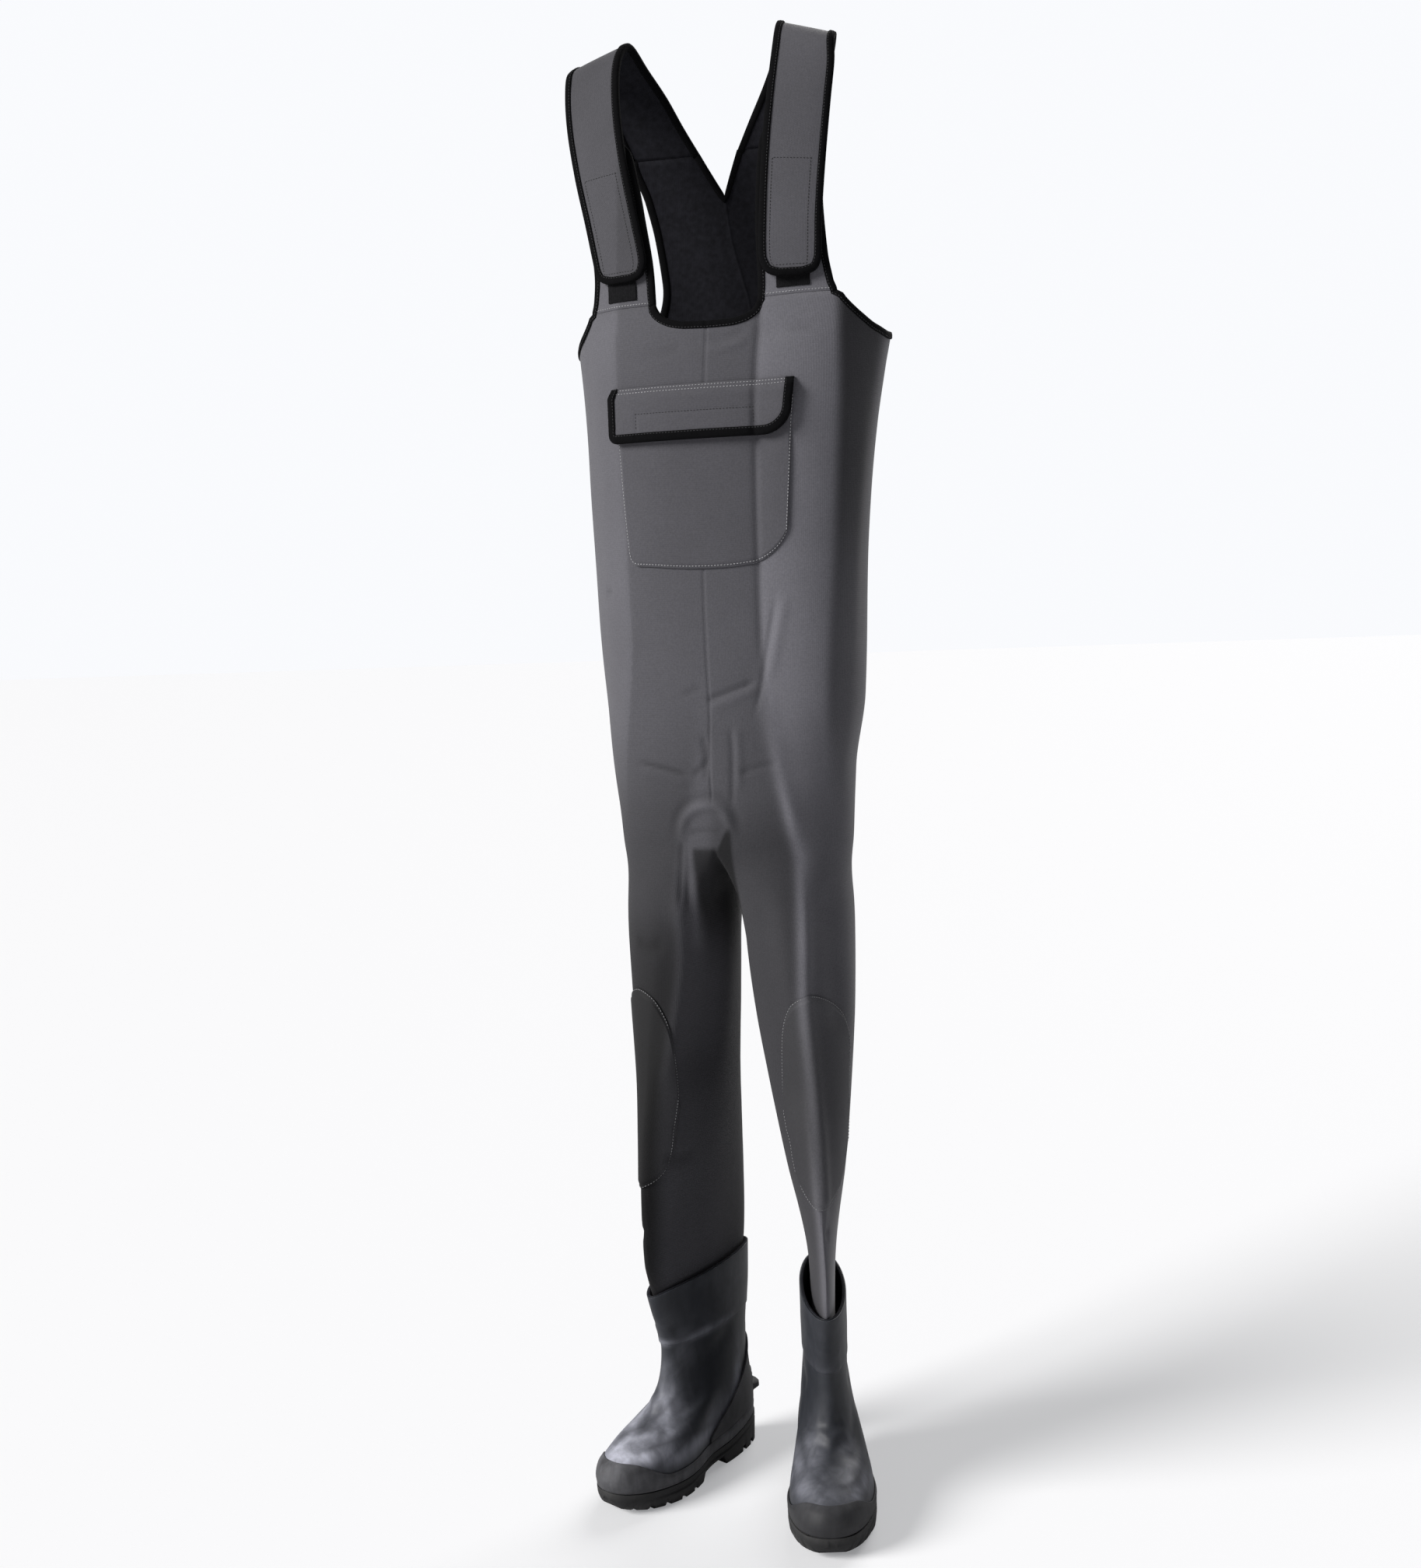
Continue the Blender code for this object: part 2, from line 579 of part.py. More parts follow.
def make_pocket():
    def pocket_place(degrees, z, step, layer):
        return over_torso(degrees, z, OVERLAY_GAP + (POCKET_THICK if layer == "outer" else 0.0))

    def flap_place(degrees, z, step, layer):
        return over_torso(degrees, z, flap_out(step, layer))

    make_patch("pocket_panel", POCKET, (0.0, 0.3, 0.6, 1.0), pocket_place, NEOPRENE, 0.85)
    columns = flap_columns()
    sheets = make_patch("pocket_flap", columns, FLAP_STEPS, flap_place, NEOPRENE, 0.85)
    loose = range(FLAP_TAPE_ROW, -1, -1)
    make_tape("flap_tape", edge_stations(sheets, rim_pairs(loose, len(columns)), TAPE_TRIM))


def make_knee_patches():
    for side, boot in BOOTS.items():
        def knee_place(degrees, z, step, layer):
            out = KNEE_GAP + (KNEE_THICK if layer == "outer" else 0.0)
            return leg_point(boot, degrees, z, -out)

        columns = list(KNEE_PATCH)
        if boot.side < 0:
            columns = [c._replace(degrees=-c.degrees) for c in reversed(columns)]
        make_patch("knee_patch_" + side, columns, (0.0, 0.25, 0.5, 0.75, 1.0), knee_place, NEOPRENE_LEG, 0.85)


def make_tab(name, rows, side, out, thick, colour):
    sheets = []
    for layer in (out + thick, out):
        points = []
        for row in rows:
            for column in range(TAB_COLUMNS + 1):
                share = column / TAB_COLUMNS if side > 0 else 1 - column / TAB_COLUMNS
                x = side * (row.inner_x + (row.outer_x - row.inner_x) * share)
                points.append(over_torso(degrees_at(x, row.z, "front"), row.z, layer))
        sheets.append(points)
    return wall(name, sheets[0], sheets[1], grid_faces(len(rows), TAB_COLUMNS + 1), colour, 0.85)


def strap_grid(side):
    """Middle of a strap's thickness: points across each row and the outward direction at each one."""
    rows = []
    for row in STRAP:
        points = []
        for column in range(STRAP_COLUMNS + 1):
            share = column / STRAP_COLUMNS
            x = side * (row.inner_x + (row.outer_x - row.inner_x) * share)
            z = row.inner_z + (row.outer_z - row.inner_z) * share
            if row.face == "ridge":
                place = face_point(x, z, "front")
                place.y = RIDGE_Y
            elif row.face == "back":
                place = over_torso(degrees_at(x, z, "back"), z, -STRAP_WALL / 2)
            else:
                place = over_torso(degrees_at(x, z, "front"), z, STRAP_STANDOFF + STRAP_WALL / 2)
            points.append(place)
        rows.append(points)
    outward = []
    last = len(rows) - 1
    for i, points in enumerate(rows):
        line = []
        for k in range(STRAP_COLUMNS + 1):
            along = rows[min(i + 1, last)][k] - rows[max(i - 1, 0)][k]
            across = points[min(k + 1, STRAP_COLUMNS)] - points[max(k - 1, 0)]
            line.append(across.cross(along).normalized() * -side)
        outward.append(line)
    return rows, outward


def make_straps():
    for side, boot in BOOTS.items():
        sheets = make_tab("front_tab_" + side, TAB, boot.side, -SUIT_WALL, SUIT_WALL, NEOPRENE)
        rim = rim_pairs(range(len(TAB)), TAB_COLUMNS + 1)
        make_tape("tab_tape_" + side, edge_stations(sheets, rim, TAPE_TRIM))
        make_tab("loop_pad_" + side, LOOP_PAD, boot.side, OVERLAY_GAP, LOOP_PAD_THICK, TAPE_BLACK)
        rows, outward = strap_grid(boot.side)
        sheets = []
        for height in (STRAP_WALL / 2, -STRAP_WALL / 2):
            points = []
            for row, line in zip(rows, outward):
                lifted = [place + out * height for place, out in zip(row, line)]
                points += lifted[::-1] if boot.side > 0 else lifted
            sheets.append(points)
        turn_from = STRAP_COLUMNS + 1 if boot.side > 0 else 0
        faces = grid_faces(len(STRAP), STRAP_COLUMNS + 1, False, turn_from)
        sheets = wall("strap_" + side, sheets[0], sheets[1], faces, NEOPRENE, 0.85)
        rim = rim_pairs(range(len(STRAP)), STRAP_COLUMNS + 1, STRAP_FAN)
        make_tape("strap_tape_" + side, edge_stations(sheets, rim, TAPE_TRIM))


def tube_faces(stations, size):
    """Faces of a closed bar through stations of the same section."""
    faces = []
    for station in range(stations - 1):
        for k in range(size):
            after = (k + 1) % size
            faces.append((
                station * size + after,
                (station + 1) * size + after,
                (station + 1) * size + k,
                station * size + k,
            ))
    faces.append(tuple(reversed(range(size))))
    faces.append(tuple(range((stations - 1) * size, stations * size)))
    return faces


def rim_pairs(rows, columns, fan=1):
    """Edge points of a grid up one side, across the end row and down, each with a point inside it.

    The last rows of a round end all look to the row that lies fan rows before the end.
    """
    rows = [row * columns for row in rows]
    last = columns - 1
    end, focus = rows[-1], rows[-1 - fan]
    inside = [rows[min(i, len(rows) - 1 - fan)] for i in range(len(rows))]
    pairs = [(row, deep + 1) for row, deep in zip(rows, inside)]
    pairs += [(end + k, focus + k) for k in range(1, last)]
    pairs += [(row + last, deep + last - 1) for row, deep in zip(reversed(rows), reversed(inside))]
    return pairs


def edge_stations(sheets, pairs, trim):
    """Stations along a sheet's edge: the edge and a deeper point, on the outer and on the inner face."""
    outer, inner = sheets
    stations = [(outer[e], outer[d], inner[e], inner[d]) for e, d in pairs]
    for end, beside in ((0, 1), (-1, -2)):
        share = trim / (stations[end][0] - stations[beside][0]).length
        stations[end] = tuple(a.lerp(b, share) for a, b in zip(stations[end], stations[beside]))
    return stations


def make_tape(name, stations):
    """Tape folded over a sheet's edge, with a lap on the outer face and a short turn inside."""
    points = []
    last = len(stations) - 1
    rim = GAP + TAPE_THICK
    for i, (edge, deep, edge_in, deep_in) in enumerate(stations):
        along = (stations[min(i + 1, last)][0] - stations[max(i - 1, 0)][0]).normalized()
        face = (edge - edge_in).normalized()
        across = (deep - edge) - along * along.dot(deep - edge)
        away = (face * face.dot(across) - across).normalized()
        lap = (deep - edge) * TAPE_LAP / across.length
        turn = (deep_in - edge_in) * TAPE_TURN / across.length
        near = face * TAPE_GAP
        far = face * (TAPE_GAP + TAPE_THICK)
        points += [edge + lap + far, edge + away * rim + far, edge_in + away * rim - far, edge_in + turn - far]
        points += [edge_in + turn - near, edge_in + away * GAP - near, edge + away * GAP + near, edge + lap + near]
    faces = tube_faces(len(stations), TAPE_POINTS)
    if along.dot(face.cross(away)) < 0:
        faces = [face[:1] + face[:0:-1] for face in faces]
    add_object(name, points, faces, TAPE_BLACK, 0.75)


def boot_wall(name, boot, columns, levels, out, thick, colour, roughness):
    """Wall over the boot's face; levels and out are functions of a column, or of a column and row."""
    closed = len(columns) == BOOT_COLUMNS
    rows = len(levels(columns[0]))
    sheets = []
    for layer in (1, 0):
        points = []
        for row in range(rows):
            for column in columns:
                ring = levels(column)[row]
                points.append(boot_point(boot, ring_degrees(column), ring, out + thick(column, row) * layer))
        sheets.append(points)
    wall(name, sheets[0], sheets[1], grid_faces(rows, len(columns), closed), colour, roughness)


def make_boot_upper(side, boot):
    columns = range(BOOT_COLUMNS)
    rings = [float(r) for r in range(len(BOOT_RINGS))]
    outer = [boot_point(boot, ring_degrees(c), r) for r in rings for c in columns]
    inner = [boot_point(boot, ring_degrees(c), r, -BOOT_WALL) for r in rings for c in columns]
    for column in columns:
        inner[column].z = outer[column].z
        inner[TOP_RING * BOOT_COLUMNS + column].z = outer[TOP_RING * BOOT_COLUMNS + column].z
    wall("boot_upper_" + side, outer, inner, grid_faces(len(rings), BOOT_COLUMNS, True), RUBBER, 0.5)


def rand_top(column):
    ahead = (1 + math.cos(math.radians(ring_degrees(column)))) / 2
    return RAND_SIDE_RING + (RAND_TOE_RING - RAND_SIDE_RING) * smooth_step(0.72, 0.98, ahead)


def counter_top(column):
    behind = (1 - math.cos(math.radians(ring_degrees(column)))) / 2
    rise = min(max((behind - COUNTER_FRONT) / (1 - COUNTER_FRONT), 0.0), 1.0)
    return COUNTER_SIDE_RING + (COUNTER_TOP_RING - COUNTER_SIDE_RING) * rise


def make_boot_overlays(side, boot):
    def rand_levels(column):
        top = rand_top(column)
        return (0.05, 1.0, 1.0 + (top - 1.0) * 0.67, top)

    def counter_levels(column):
        low = RAND_SIDE_RING + 0.08
        return [low + (counter_top(column) - low) * s for s in COUNTER_STEPS]

    def counter_thick(column, row):
        spur = COUNTER_STEPS[row] in SPUR_STEPS and column in SPUR_COLUMNS
        return COUNTER_THICK + (SPUR_REACH if spur else 0.0)

    columns = range(BOOT_COLUMNS)
    boot_wall("toe_rand_" + side, boot, columns, rand_levels, RAND_GAP,
              lambda column, row: RAND_THICK, RUBBER_MATTE, 0.7)
    boot_wall("heel_counter_" + side, boot, COUNTER_COLUMNS, counter_levels, RAND_GAP,
              counter_thick, RUBBER_MATTE, 0.6)
    boot_wall("cuff_band_" + side, boot, columns, lambda column: CUFF_BAND_RINGS, CUFF_BAND_GAP,
              lambda column, row: CUFF_BAND_THICK, RUBBER, 0.55)


def feather_edge(boot, along_y, hand, margin):
    """Point of the foot's outline at a distance from the heel, moved out by a margin."""
    first = BOOT_RINGS[0]
    length = first.front_y - first.back_y
    stretch = (along_y - first.back_y + margin) / (length + 2 * margin)
    degrees = hand * math.degrees(math.acos(min(max(2 * stretch - 1, -1.0), 1.0)))
    place = boot_point(boot, degrees, 0.0)
    heel, across, forward = boot_axes(boot)
    aside = (place - heel).dot(across)
    middle = -boot.side * TOE_BEND * smooth_step(0.45, 1.0, stretch)
    aside += math.copysign(margin, aside - middle)
    return heel + across * aside + forward * along_y + Vector((0, 0, place.z))


def sole_bottom(along_y):
    """Height of the sole's underside at the ends, the arch and between, before the lugs."""
    spring = max(along_y - SPRING_START, 0.0) / (BOOT_RINGS[0].front_y - SPRING_START)
    return SPRING_RISE * spring * spring


def sole_stations():
    """Distances along the sole with the height of its underside there."""
    first = BOOT_RINGS[0]
    start = first.back_y - SOLE_MARGIN
    end = first.front_y + SOLE_MARGIN
    stations = [(start + SOLE_TIP, SOLE_ROUND), (start + SOLE_NOSE, SOLE_ROUND / 4)]
    for low, high in HEEL_LUGS:
        stations += [(low, 0.0), (high, 0.0), (high + LUG_WALL, LUG_DEPTH)]
        stations += [(high + LUG_GROOVE - LUG_WALL, LUG_DEPTH)]
    stations = stations[:-2]
    stations += [(HEEL_LUGS[-1][1] + ARCH_WALL, ARCH_HEIGHT), (ARCH_FRONT, ARCH_HEIGHT - ARCH_FALL)]
    for low, high in FORE_LUGS + TOE_LUGS:
        after = high + LUG_GROOVE
        stations += [(low, sole_bottom(low)), (high, sole_bottom(high))]
        stations += [(high + LUG_WALL, sole_bottom(high) + FORE_DEPTH)]
        stations += [(after - LUG_WALL, sole_bottom(after) + FORE_DEPTH)]
    stations = stations[:-2]
    stations += [(end - SOLE_NOSE, sole_bottom(end - SOLE_NOSE) + SOLE_ROUND / 2)]
    stations += [(end - SOLE_TIP, sole_bottom(end) + SOLE_ROUND)]
    return stations


def make_outsole(side, boot):
    points = []
    stations = sole_stations()
    for along_y, bottom in stations:
        section = []
        for hand in (-1, 1):
            edge = feather_edge(boot, along_y, hand, SOLE_MARGIN)
            top = edge.z - GAP
            low = boot_axes(boot)[1] * hand
            column = [edge + low * a + Vector((0, 0, top - edge.z - d)) for a, d in SOLE_SIDE_STEPS]
            foot = edge - low * SOLE_TUCK
            foot.z = bottom
            column.append(foot)
            section.append(column)
        points += section[0] + section[1][::-1]
    size = 2 * (len(SOLE_SIDE_STEPS) + 1)
    add_object("outsole_" + side, points, tube_faces(len(stations), size), SOLE_BLACK, 0.75)


def make_insole(side, boot):
    columns = range(BOOT_COLUMNS)
    sheets = []
    for height in (GAP + INSOLE_THICK, GAP):
        points = []
        for column in columns:
            place = boot_point(boot, ring_degrees(column), 0.0)
            inside = boot_point(boot, ring_degrees(column), 0.3, -BOOT_WALL - 3 * GAP)
            points.append(Vector((inside.x, inside.y, place.z + height)))
        sheets.append(points)
    half = BOOT_COLUMNS // 2
    strips = [(k, k + 1, BOOT_COLUMNS - k - 1, (BOOT_COLUMNS - k) % BOOT_COLUMNS) for k in range(1, half - 1)]
    faces = [(0, 1, BOOT_COLUMNS - 1)] + strips + [(half - 1, half, half + 1)]
    wall("insole_" + side, sheets[0], sheets[1], faces, LINING, 0.9)


def main():
    for old in list(bpy.data.objects):
        bpy.data.objects.remove(old, do_unlink=True)
    frame = bpy.data.objects.new("waders", None)
    frame.location = BODY_PLACE
    bpy.context.scene.collection.objects.link(frame)
    make_suit()
    make_pocket()
    make_knee_patches()
    make_straps()
    for side, boot in BOOTS.items():
        make_boot_upper(side, boot)
        make_boot_overlays(side, boot)
        make_outsole(side, boot)
        make_insole(side, boot)


main()
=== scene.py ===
# Grey neoprene chest waders with moulded rubber boots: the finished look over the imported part.
# Metres, the front faces -Y and the wearer's left is +X. Shapes are worked out about the torso's middle.
import math

import bpy
import numpy as np
from mathutils import Matrix


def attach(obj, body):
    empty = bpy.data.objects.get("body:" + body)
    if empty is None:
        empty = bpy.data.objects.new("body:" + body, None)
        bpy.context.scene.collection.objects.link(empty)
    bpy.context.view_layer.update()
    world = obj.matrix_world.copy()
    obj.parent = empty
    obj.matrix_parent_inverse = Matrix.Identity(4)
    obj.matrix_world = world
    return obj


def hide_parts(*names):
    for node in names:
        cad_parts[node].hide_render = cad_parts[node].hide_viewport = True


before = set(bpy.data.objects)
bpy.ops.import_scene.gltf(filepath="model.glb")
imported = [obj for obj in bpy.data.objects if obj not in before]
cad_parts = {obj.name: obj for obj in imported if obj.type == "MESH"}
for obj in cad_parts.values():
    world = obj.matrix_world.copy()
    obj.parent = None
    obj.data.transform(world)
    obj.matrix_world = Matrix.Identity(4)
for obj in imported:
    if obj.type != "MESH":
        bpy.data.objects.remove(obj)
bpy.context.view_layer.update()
print("frame loaded,", len(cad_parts), "nodes")

bodyPlace = np.array((-0.0129, 0.0607, 0.0))   # middle of the torso in the part's frame
# each boot: its side, heel and turn, dust on foot, shaft and toe cap, the ankle's share and the cuff's dip
boots = {
    "right": {"side": -1, "heel": (-0.0366, 0.0528), "toeOut": -23.5, "bloom": 1.0, "shaft": 0.86, "cap": 1.0,
              "slim": 1.0, "dip": 0.006},
    "left": {"side": 1, "heel": (0.0648, 0.0240), "toeOut": 18.5, "bloom": 0.45, "shaft": 0.08, "cap": 0.0,
             "slim": 0.76, "dip": 0.0},
}


# small tools
def tableOf(names, *rows):
    return dict(zip(names.split(), np.array(rows, float).T))


def along(table, name, at, even=False):   # smooth value of a named column, looked up by the first column
    keys, values = next(iter(table.values())), table[name]
    at = np.clip(at, keys[0], keys[-1])
    rise = np.diff(values) / np.diff(keys)
    slope = np.zeros(len(keys))
    if even:
        slope[1:-1] = (rise[:-1] + rise[1:]) / 2
        slope[0], slope[-1] = rise[0], rise[-1]
    else:
        both = rise[:-1] * rise[1:]
        slope[1:-1] = np.where(both > 0, 2 * both / np.where(both > 0, rise[:-1] + rise[1:], 1.0), 0.0)
    low = np.clip(np.searchsorted(keys, at, side="right") - 1, 0, len(keys) - 2)
    span = keys[low + 1] - keys[low]
    t = (at - keys[low]) / span
    ease = t * t * (3 - 2 * t)
    bend = t * (1 - t) ** 2 * slope[low] - t * t * (1 - t) * slope[low + 1]
    return values[low] * (1 - ease) + values[low + 1] * ease + span * bend


def smoothStep(low, high, value):
    t = np.clip((value - low) / (high - low), 0.0, 1.0)
    return t * t * (3 - 2 * t)


def signedPower(value, power):
    return np.sign(value) * np.abs(value) ** power


def unit(vectors):
    return vectors / np.maximum(np.linalg.norm(vectors, axis=-1, keepdims=True), 1e-12)


def mix(a, b, share):
    return a + (b - a) * share


def refine(grid, steps, axis):   # a smooth curve through the rows or columns of a grid of points
    grid = np.moveaxis(np.asarray(grid, float), axis, 0)
    keys = np.arange(len(grid), dtype=float)
    at = np.linspace(0, len(grid) - 1, (len(grid) - 1) * steps + 1)
    flat = grid.reshape(len(grid), -1)
    fine = np.stack([along({"key": keys, "v": flat[:, i]}, "v", at, True) for i in range(flat.shape[1])], 1)
    return np.moveaxis(fine.reshape((len(at),) + grid.shape[1:]), 0, axis)


def gridNormals(grid, closed=False):
    if closed:
        across = np.roll(grid, -1, 1) - np.roll(grid, 1, 1)
    else:
        across = np.gradient(grid, axis=1)
    return unit(np.cross(across, np.gradient(grid, axis=0)))


def quadsOf(index, closed=False):
    after = np.roll(index, -1, 1) if closed else index[:, 1:]
    here = index if closed else index[:, :-1]
    return np.stack([here[:-1], after[:-1], after[1:], here[1:]], -1).reshape(-1, 4)


def pointNormals(points, faces):
    corner = points[faces]
    facing = np.cross(corner[:, 2] - corner[:, 0], corner[:, 3] - corner[:, 1])
    total = np.zeros_like(points)
    for i in range(4):
        np.add.at(total, faces[:, i], facing)
    return unit(total)


def wallFaces(faces, count):   # outer faces, inner faces and the rim between them
    edges = np.concatenate([faces[:, [i, (i + 1) % 4]] for i in range(4)])
    lone = ~np.isin(edges[:, 0] * count + edges[:, 1], edges[:, 1] * count + edges[:, 0])
    a, b = edges[lone].T
    rim = np.stack([b, a, a + count, b + count], 1)
    return np.concatenate([faces, faces[:, ::-1] + count, rim])


def addMesh(name, points, faces, materials, slots=None, marks=None):
    points = np.asarray(points)
    marks = dict(marks or {})
    if "weave" in marks:
        marks.setdefault("shade", clothShade(points))
    mesh = bpy.data.meshes.new(name)
    mesh.from_pydata((points + bodyPlace).tolist(), [], [tuple(map(int, f)) for f in faces])
    for finish in materials:
        mesh.materials.append(finish)
    if slots is not None:
        mesh.polygons.foreach_set("material_index", np.asarray(slots, np.int32))
    for key, values in marks.items():
        flat = values.ndim == 1
        mark = mesh.attributes.new(key, "FLOAT" if flat else "FLOAT_VECTOR", "POINT")
        mark.data.foreach_set("value" if flat else "vector", values.astype(np.float32).ravel())
    mesh.shade_smooth()
    piece = bpy.data.objects.new(name, mesh)
    bpy.context.scene.collection.objects.link(piece)
    return piece


def applyModifiers(piece):
    made = bpy.data.meshes.new_from_object(piece.evaluated_get(bpy.context.evaluated_depsgraph_get()))
    piece.modifiers.clear()
    old = piece.data
    name = old.name
    piece.data = made
    bpy.data.meshes.remove(old)
    made.name = name
    return piece


def roundEdges(piece, width, segments=2, degrees=48):
    bevel = piece.modifiers.new("roundEdges", "BEVEL")
    bevel.width = width
    bevel.segments = segments
    bevel.limit_method = "ANGLE"
    bevel.angle_limit = math.radians(degrees)
    bevel.harden_normals = False
    bpy.context.view_layer.update()
    return applyModifiers(piece)


def settle(piece, slot, *nodes):
    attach(piece, "root")
    if nodes:
        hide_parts(*nodes)
    return piece


def addWall(name, outer, inner, materials, closed=False, weave=None, marks=None, lined=False):
    rows, columns = outer.shape[:2]
    count = rows * columns
    faces = wallFaces(quadsOf(np.arange(count).reshape(rows, columns), closed), count)
    own = (rows - 1) * (columns if closed else columns - 1)
    slots = np.zeros(len(faces), int)
    if lined:
        slots[own:] = 1
    both = {key: np.concatenate([v.reshape(count, -1).squeeze()] * 2) for key, v in (marks or {}).items()}
    if weave is None:
        stepAcross = np.linalg.norm(np.diff(outer, axis=1, prepend=outer[:, :1]), axis=2)
        stepUp = np.linalg.norm(np.diff(outer, axis=0, prepend=outer[:1]), axis=2)
        weave = np.stack([np.cumsum(stepAcross, 1), np.cumsum(stepUp, 0), np.zeros((rows, columns))], -1)
    both["weave"] = np.concatenate([weave.reshape(count, 3)] * 2)
    points = np.concatenate([outer.reshape(count, 3), inner.reshape(count, 3)])
    return addMesh(name, points, faces, materials, slots, both)


# finishes: colour, gloss and grain of each material
finishes = {
    "neoprene": {"colour": (0.102, 0.1005, 0.115), "roughness": 0.82, "sheen": 0.22},
    "strapCloth": {"colour": (0.066, 0.065, 0.0745), "roughness": 0.82, "sheen": 0.18},
    "pocketCloth": {"colour": (0.094, 0.0925, 0.106), "roughness": 0.82, "sheen": 0.18},
    "kneeCloth": {"colour": (0.096, 0.095, 0.107), "roughness": 0.74, "sheen": 0.12},
    "tape": {"colour": (0.0020, 0.0020, 0.0026), "roughness": 0.92, "ribs": 260.0, "grain": 240.0,
             "depth": 0.00025},
    "lining": {"colour": (0.0130, 0.0130, 0.0170), "roughness": 0.90, "ribs": 200.0, "grain": 160.0,
               "depth": 0.0002},
    "loopPile": {"colour": (0.0075, 0.0075, 0.0085), "roughness": 0.95, "ribs": 170.0, "grain": 420.0,
                 "depth": 0.0006},
    "rubber": {"colour": (0.0125, 0.0145, 0.0190), "bloom": (0.700, 0.715, 0.830), "roughness": (0.50, 0.74),
               "patch": 26.0, "grain": 700.0},
    "matteRubber": {"colour": (0.0170, 0.0170, 0.0190), "bloom": (0.165, 0.166, 0.181),
                    "roughness": (0.60, 0.78), "patch": 34.0, "grain": 900.0},
    "soleRubber": {"colour": (0.0165, 0.0165, 0.0178), "bloom": (0.068, 0.067, 0.067),
                   "roughness": (0.66, 0.84), "patch": 40.0, "grain": 800.0},
    "greyThread": {"colour": (0.400, 0.400, 0.420), "roughness": 0.7},
    "dullThread": {"colour": (0.240, 0.240, 0.252), "roughness": 0.7},
    "blackThread": {"colour": (0.020, 0.020, 0.023), "roughness": 0.7},
}
knit = {"dyeScale": 9.0, "fleckScale": 520.0, "wales": 190.0, "loops": 150.0, "depth": 0.0003,
        "softScale": 60.0, "softDepth": 0.0012}
rubberSkin = {"streak": 3.1, "streakFlat": 0.28, "dentScale": 85.0, "dentDepth": 0.0011, "grainDepth": 0.0003}


def addNode(tree, kind, inputs=None, **settings):
    made = tree.nodes.new(kind)
    for key, value in settings.items():
        setattr(made, key, value)
    for key, value in (inputs or {}).items():
        if isinstance(value, bpy.types.NodeSocket):
            tree.links.new(value, made.inputs[key])
        else:
            made.inputs[key].default_value = value
    return made


def spread(tree, value, low, high, toLow, toHigh):
    made = addNode(tree, "ShaderNodeMapRange", {0: value, 1: low, 2: high, 3: toLow, 4: toHigh})
    return made.outputs[0]


def times(tree, a, b):
    return addNode(tree, "ShaderNodeMath", {0: a, 1: b}, operation="MULTIPLY").outputs[0]


def newFinish(name):
    made = bpy.data.materials.new(name)
    made.use_nodes = True
    return made, made.node_tree, made.node_tree.nodes["Principled BSDF"]


def objectCoords(tree):
    return addNode(tree, "ShaderNodeTexCoord").outputs["Object"]


def markOf(tree, name, output="Fac"):   # a value that a piece carries at its points
    return addNode(tree, "ShaderNodeAttribute", attribute_name=name).outputs[output]


def noise(tree, coords, scale, detail=2.0, distortion=0.0):
    made = addNode(tree, "ShaderNodeTexNoise", {"Vector": coords, "Scale": scale, "Detail": detail,
                                                "Distortion": distortion})
    return made.outputs["Fac"]


def ribs(tree, coords, scale, direction="X"):
    made = addNode(tree, "ShaderNodeTexWave", {"Vector": coords, "Scale": scale}, bands_direction=direction)
    return made.outputs["Fac"]


def bump(tree, height, strength, depth, under=None):
    inputs = {"Height": height, "Strength": strength, "Distance": depth}
    if under is not None:
        inputs["Normal"] = under
    return addNode(tree, "ShaderNodeBump", inputs).outputs[0]


def dye(tree, shader, look, value):   # the material's colour, made lighter or darker by a value
    made = addNode(tree, "ShaderNodeHueSaturation", {"Color": look["colour"] + (1.0,), "Value": value})
    tree.links.new(made.outputs[0], shader.inputs["Base Color"])
    shader.inputs["Roughness"].default_value = look["roughness"]


def clothFinish(name):   # knit face over foam: fine wales, a mottled dye and the painted shade
    look = finishes[name]
    made, tree, shader = newFinish(name)
    coords = objectCoords(tree)
    weave = markOf(tree, "weave", "Vector")
    shade = markOf(tree, "shade")
    tone = spread(tree, noise(tree, coords, knit["dyeScale"], 3.0), 0.32, 0.68, 0.92, 1.07)
    fleck = spread(tree, noise(tree, coords, knit["fleckScale"]), 0.30, 0.70, 0.90, 1.10)
    dye(tree, shader, look, times(tree, times(tree, tone, fleck), shade))
    tree.links.new(times(tree, shade, look["sheen"]), shader.inputs["Sheen Weight"])
    shader.inputs["Sheen Roughness"].default_value = 0.45
    shader.inputs["Specular IOR Level"].default_value = 0.30
    wales = ribs(tree, weave, knit["wales"])
    loops = ribs(tree, weave, knit["loops"], "Y")
    both = addNode(tree, "ShaderNodeMath", {0: wales, 1: loops}, operation="ADD").outputs[0]
    face = bump(tree, both, 0.22, knit["depth"])
    soft = bump(tree, noise(tree, coords, knit["softScale"], 4.0), 0.16, knit["softDepth"], face)
    tree.links.new(soft, shader.inputs["Normal"])
    return made


def plainCloth(name):   # tape, lining and pile: one dark dye with its own ribs or fuzz
    look = finishes[name]
    made, tree, shader = newFinish(name)
    coords = objectCoords(tree)
    dye(tree, shader, look, spread(tree, noise(tree, coords, look["grain"], 3.0), 0.3, 0.7, 0.75, 1.35))
    shader.inputs["Specular IOR Level"].default_value = 0.12
    rib = bump(tree, ribs(tree, markOf(tree, "weave", "Vector"), look["ribs"]), 0.30, look["depth"])
    fuzz = bump(tree, noise(tree, coords, look["grain"] * 3, 3.0), 0.35, look["depth"], rib)
    tree.links.new(fuzz, shader.inputs["Normal"])
    return made


